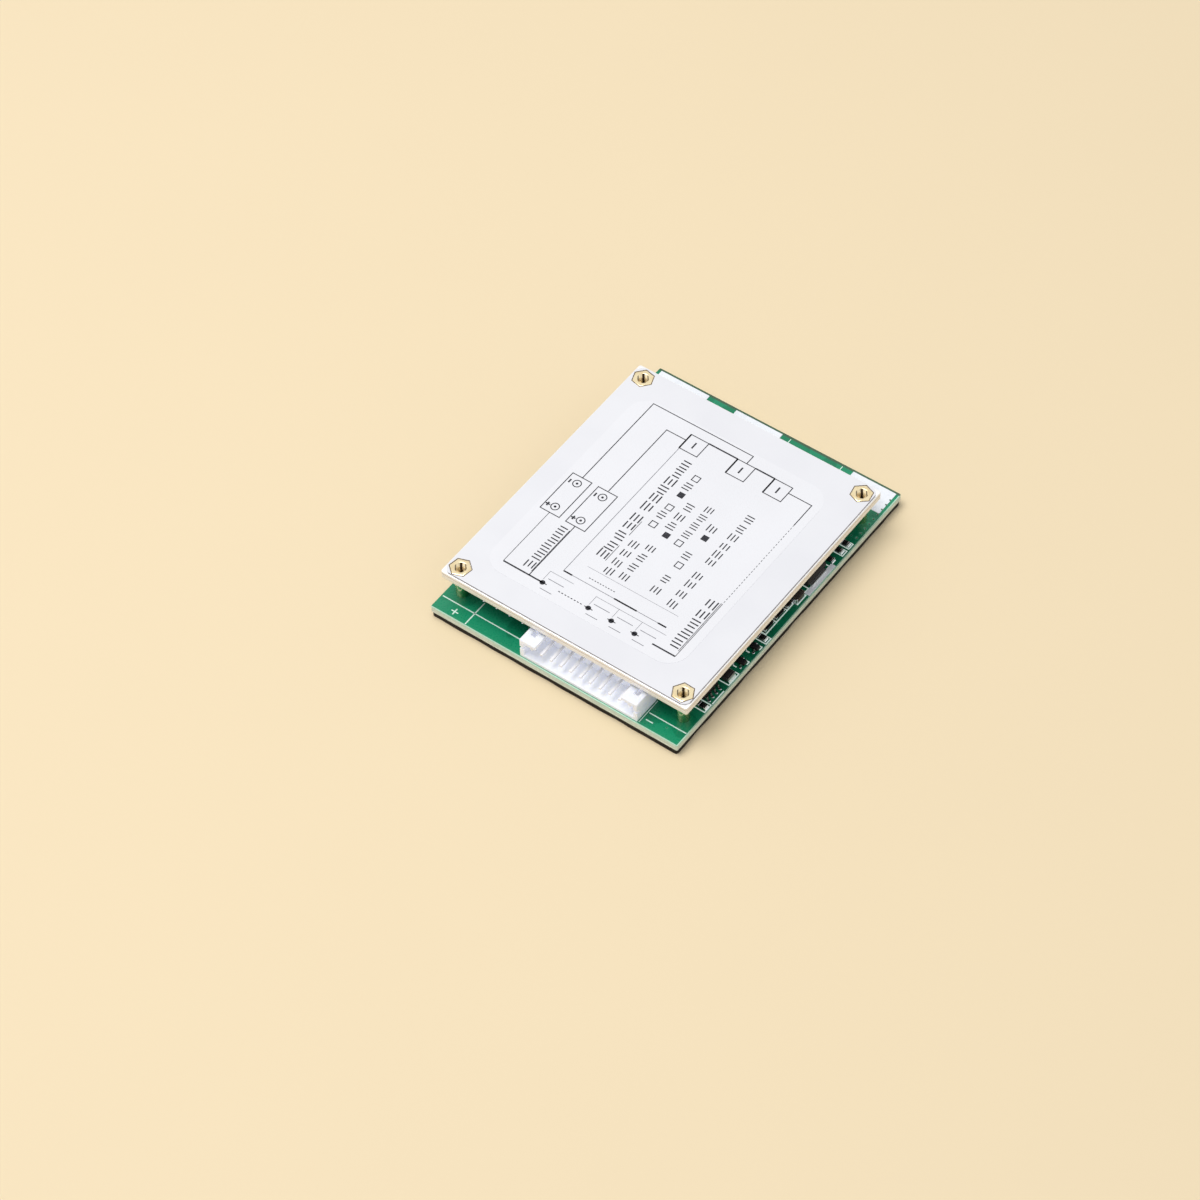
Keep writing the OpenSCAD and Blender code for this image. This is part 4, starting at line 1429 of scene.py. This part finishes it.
@dataclass
class HeatSinkPlate:
    """Aluminium plate with its film, its paper label and the standoffs clinched into it."""

    edge_radius: float = 0.14
    label_size: Point = (50.0, 57.5)
    label_centre: Point = (-1.1, -2.2)
    label_radius: float = 5.0
    label_t: float = 0.03
    label_sink: float = 0.01
    print_lift: float = 0.008
    seam_lift: float = 0.006
    seam_width: float = 0.17
    seam_end: float = 1.54
    gap_shadow_width: float = 0.13
    gap_shadow_offset: float = 0.08
    post_radius: float = 0.07
    thread_pitch: float = 0.4
    thread_depth: float = 0.11
    thread_wall_r: float = 0.81
    thread_half: float = 0.17
    thread_span: Point = (3.2, 0.5)
    thread_steps: int = 24
    posts: tuple[str, ...] = ("plus", "minus", "charge", "battery")

    def build(self) -> None:
        """Build the plate, its faces and its standoffs."""
        soften("heatsink_plate", ALUMINIUM, self.edge_radius, segments=3)
        dress(["plate_film"], FILM)
        top = box_mm("plate_film")[1].z
        label = Piece()
        outline = rounded(self.label_size, self.label_radius, self.label_centre, 10)
        label.slab(outline, top - self.label_sink, top + self.label_t)
        label.place("paper_label", LABEL, "white_film")
        LabelPrint(top + self.label_t + self.print_lift).build()
        self.line_edges(top + self.seam_lift)
        for post in self.posts:
            soften("standoff_" + post, BRASS, self.post_radius)
            self.cut_thread(post)

    def line_edges(self, z: float) -> None:
        """Darken two of the film's cut edges, and draw a thin painted shadow round each hexagonal
        head, where it meets the film.

        Args:
            z: Height at which the lines lie.
        """
        low, high = box_mm("plate_film")
        x, y = high.x - self.seam_width / 2, low.y + self.seam_width / 2
        seam = Piece()
        for ends in (
            [(low.x + self.seam_end, y), (high.x - self.seam_end, y)],
            [(x, low.y + self.seam_end), (x, high.y - self.seam_end)],
        ):
            seam.ribbon(ends, self.seam_width, z)
        seam.place("film_seam", SEAM_INK, "white_film")
        # A thin painted shadow rings each hexagonal head.
        gap_shadows = Piece()
        for post in self.posts:
            corners = self.head_corners("standoff_" + post)
            gap_shadows.ribbon(corners, self.gap_shadow_width, z, closed=True)
        gap_shadows.place("head_gap_shadows", HEAD_GAP_SHADOW, "brass")

    def head_corners(self, node: str) -> list[Point]:
        """Return the corners of the middle line of the painted shadow round a hexagonal head.

        Args:
            node: Name of the standoff.

        Returns:
            The six corners, counter-clockwise.
        """
        low, high = box_mm(node)
        centre = (low + high) / 2
        spots = [vert.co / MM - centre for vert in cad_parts[node].data.vertices]
        corner = max(spots, key=lambda spot: spot.xy.length)
        reach = corner.xy.length + self.gap_shadow_width / 2 + self.gap_shadow_offset
        start = math.atan2(corner.y, corner.x)
        return circle((centre.x, centre.y), (reach, reach), 6, start)

    def cut_thread(self, post: str) -> None:
        """Wind a thread in the mouth of a standoff.

        Args:
            post: Name of the standoff's corner.
        """
        low, high = box_mm("standoff_" + post)
        centre = (low + high) / 2
        length = self.thread_span[0] - self.thread_span[1]
        half = Vector((0, 0, self.thread_half))
        rows = []
        for i in range(round(length / self.thread_pitch * self.thread_steps) + 1):
            turns = i / self.thread_steps
            ray = Vector((math.cos(2 * math.pi * turns), math.sin(2 * math.pi * turns), 0))
            rise = high.z - self.thread_span[0] + self.thread_pitch * turns
            base = Vector((centre.x, centre.y, rise))
            wall = base + ray * self.thread_wall_r
            ridge = base + ray * (self.thread_wall_r - self.thread_depth)
            rows.append([wall - half, ridge, wall + half])
        thread = Piece()
        thread.skin(rows)
        thread.place(f"thread_{post}", BRASS, "brass")


@dataclass
class PowerStage:
    """Power transistors, their thermal pad and the shunts, hidden under the plate."""

    edge_radius: float = 0.08
    rows: tuple[str, ...] = ("charge", "discharge")
    columns: tuple[str, ...] = ("left", "middle", "right")

    def build(self) -> None:
        """Dress the power stage."""
        for row in self.rows:
            for column in self.columns:
                soften(f"{row}_transistor_{column}", EPOXY, self.edge_radius)
                dress([f"{row}_frame_{column}"], LEAD_TIN)
        dress([f"shunt_{column}" for column in self.columns], ALLOY)
        dress(["thermal_pad"], SILICONE)
        dress(["board_screws"], ZINC)


@dataclass
class SmallParts:
    """Integrated circuits, small transistors and chips, soldered to the board."""

    edge_radius: float = 0.05
    end_radius: float = 0.06
    fillet_reach: float = 0.22
    fillet_share: float = 0.55
    foot_share: float = 0.28
    foot_margin: float = 0.1
    foot_rise: float = 0.16
    bodies: tuple[tuple[str, Finish], ...] = (
        ("monitor_ic", EPOXY),
        ("logic_ic", EPOXY),
        ("switch_transistor", EPOXY),
        ("driver_transistors", EPOXY),
        ("signal_transistor_1", EPOXY),
        ("signal_transistor_2", EPOXY),
        ("edge_resistors", GLAZE),
        ("balance_resistors", GLAZE),
        ("smoothing_capacitor", CERAMIC),
        ("blocking_capacitor", DARK_CERAMIC),
    )
    leaded: tuple[tuple[str, str, Finish], ...] = (
        ("monitor_ic", "monitor_ic_leads", LEAD_TIN),
        ("logic_ic", "logic_ic_leads", DULL_TIN),
        ("driver_transistors", "driver_transistor_leads", LEAD_TIN),
        ("signal_transistor_1", "signal_leads_1", LEAD_TIN),
        ("signal_transistor_2", "signal_leads_2", LEAD_TIN),
    )
    chips: tuple[tuple[str, str, Finish], ...] = (
        ("edge_resistors", "edge_resistor_ends", SOLDER),
        ("balance_resistors", "balance_resistor_ends", SOLDER),
        ("smoothing_capacitor", "smoothing_capacitor_ends", SOLDER),
        ("blocking_capacitor", "blocking_capacitor_ends", DULL_TIN),
    )

    def build(self) -> None:
        """Dress the parts and solder them."""
        for body, finish in self.bodies:
            soften(body, finish, self.edge_radius)
        for _, leads, tin in self.leaded:
            dress([leads], tin)
        dress(["switch_transistor_metal"], LEAD_TIN)
        for _, ends, tin in self.chips:
            soften(ends, tin, self.end_radius)
        self.solder_chips()
        self.solder_leads()

    @staticmethod
    def ends_of(
        parts: Iterable[tuple[str, str, Finish]],
    ) -> Iterator[tuple[Vector, Vector, Vector]]:
        """Go through the soldered ends or leads of some parts.

        Args:
            parts: Bodies with their ends or leads, and the metal of those.

        Yields:
            Lowest and highest corner of an end, and the way to it from its own body.
        """
        for body, ends, _ in parts:
            centres = [(low + high) / 2 for low, high in islands(body)]
            for low, high in islands(ends):
                ways = [(low + high) / 2 - centre for centre in centres]
                yield low, high, min(ways, key=lambda way: way.length)

    def solder_chips(self) -> None:
        """Run a fillet from each chip's end to the board."""
        solder = Piece()
        for low, high, away in self.ends_of(self.chips):
            if abs(away.x) > abs(away.y):
                out = Vector((math.copysign(1, away.x), 0, 0))
            else:
                out = Vector((0, math.copysign(1, away.y), 0))
            rise = (high.z - low.z) * self.fillet_share
            solder.fillet(low, high, out, self.fillet_reach, rise)
        solder.place("chip_solder", SOLDER, "chip_tin", smooth=True)

    def solder_leads(self) -> None:
        """Pool a little solder round the foot of each lead."""
        solder = Piece()
        for low, high, away in self.ends_of(self.leaded):
            size = high - low
            along = 0 if size.x > size.y else 1
            reach = size[along] * self.foot_share
            centre = (low + high) / 2
            centre[along] = high[along] - reach if away[along] > 0 else low[along] + reach
            radii = [self.foot_margin + size[axis] / 2 for axis in (0, 1)]
            radii[along] = self.foot_margin + reach
            solder.mound((centre.x, centre.y), tuple(radii), low.z, self.foot_rise)
        solder.place("lead_solder", SOLDER, "chip_tin", smooth=True)


# ---- Studio ----


@dataclass
class Studio:
    """Pale floor, soft light and the camera."""

    focal_length: float = 117.5277
    sensor_width: float = 36.0
    azimuth: float = 37.75968
    elevation: float = 51.02604
    roll: float = -1.93579
    distance: float = 821.80
    target: tuple[float, float, float] = (-3.7248, -19.3972, 3.1)
    floor_size: float = 6000.0
    floor_gap: float = 0.03
    sky: float = 0.5
    sky_colour: Colour = (0.95, 0.97, 1.0)
    dark_from: float = 0.85
    dark_full: float = 0.96
    dark_level: float = 0.1
    key_power: float = 9.45
    key_colour: Colour = (1.0, 0.985, 0.96)
    key_size: float = 0.8
    key_place: tuple[float, float, float] = (-0.3, -0.22, 1.2)

    def build(self) -> None:
        """Set up the whole studio."""
        self.lay_floor()
        self.light_world()
        self.hang_key()
        self.aim_camera()
        bpy.context.scene.view_settings.view_transform = "Standard"

    def lay_floor(self) -> None:
        """Lay the floor under the pad."""
        half = self.floor_size / 2 * MM
        corners = raised(rectangle((-half, -half), (half, half)), -self.floor_gap * MM)
        data = bpy.data.meshes.new("floor")
        data.from_pydata(corners, [], [(0, 1, 2, 3)])
        data.materials.append(material_of(FLOOR))
        floor = link_new("floor", data)

    def light_world(self) -> None:
        """Fill the scene with even light.

        The camera and gloss see a pale backdrop instead, with a dark wall behind the camera.
        """
        world = bpy.data.worlds.new("studio")
        bpy.context.scene.world = world
        world.use_nodes = True
        graph = Graph(world.node_tree)
        direction = graph.node("ShaderNodeTexCoord", output="Generated")
        match = graph.vector("DOT_PRODUCT", {0: direction, 1: self.backward()}, "Value")
        wall = graph.node("ShaderNodeMapRange", sockets={
            "Value": match,
            "From Min": self.dark_from,
            "From Max": self.dark_full,
            "To Min": 1.0,
            "To Max": self.dark_level,
        })
        rays = [graph.node("ShaderNodeLightPath", output=f"Is {kind} Ray")
                for kind in ("Camera", "Glossy")]
        seen = graph.math("MAXIMUM", *rays)
        level = graph.node(
            "ShaderNodeMapRange", sockets={"Value": seen, "To Min": self.sky, "To Max": wall}
        )
        background = graph.node(
            "ShaderNodeBackground", sockets={"Color": self.sky_colour, "Strength": level}
        )
        graph.node("ShaderNodeOutputWorld", sockets={"Surface": background})

    def backward(self) -> Vector:
        """Return the direction from the target to the camera."""
        a, e = math.radians(self.azimuth), math.radians(self.elevation)
        return Vector((math.sin(a) * math.cos(e), -math.cos(a) * math.cos(e), math.sin(e)))

    def hang_key(self) -> None:
        """Hang the soft key light."""
        light = bpy.data.lights.new("key", "AREA")
        light.energy = self.key_power
        light.size = self.key_size
        light.color = self.key_colour
        lamp = link_new("key", light)
        lamp.location = self.key_place
        lamp.rotation_euler = Vector(self.key_place).to_track_quat("Z", "Y").to_euler()

    def aim_camera(self) -> None:
        """Place the camera at its measured angle."""
        a, r = math.radians(self.azimuth), math.radians(self.roll)
        back = self.backward()
        level = Vector((math.cos(a), math.sin(a), 0))
        rise = back.cross(level)
        right = level * math.cos(r) + rise * math.sin(r)
        up = rise * math.cos(r) - level * math.sin(r)
        data = bpy.data.cameras.new("camera")
        data.lens = self.focal_length
        data.sensor_width = self.sensor_width
        camera = link_new("camera", data)
        where = (Vector(self.target) + back * self.distance) * MM
        turn = Matrix((right, up, back)).transposed().to_4x4()
        camera.matrix_world = Matrix.Translation(where) @ turn
        bpy.context.scene.camera = camera


def main() -> None:
    """Build every sub-assembly in order."""
    builders = [InsulatingPad(), CircuitBoard(), BalanceHeader(), HeatSinkPlate(), PowerStage(),
                SmallParts(), Studio()]
    for builder in builders:
        builder.build()
        log.info("built %s", type(builder).__name__)


if __name__ == "__main__":
    main()
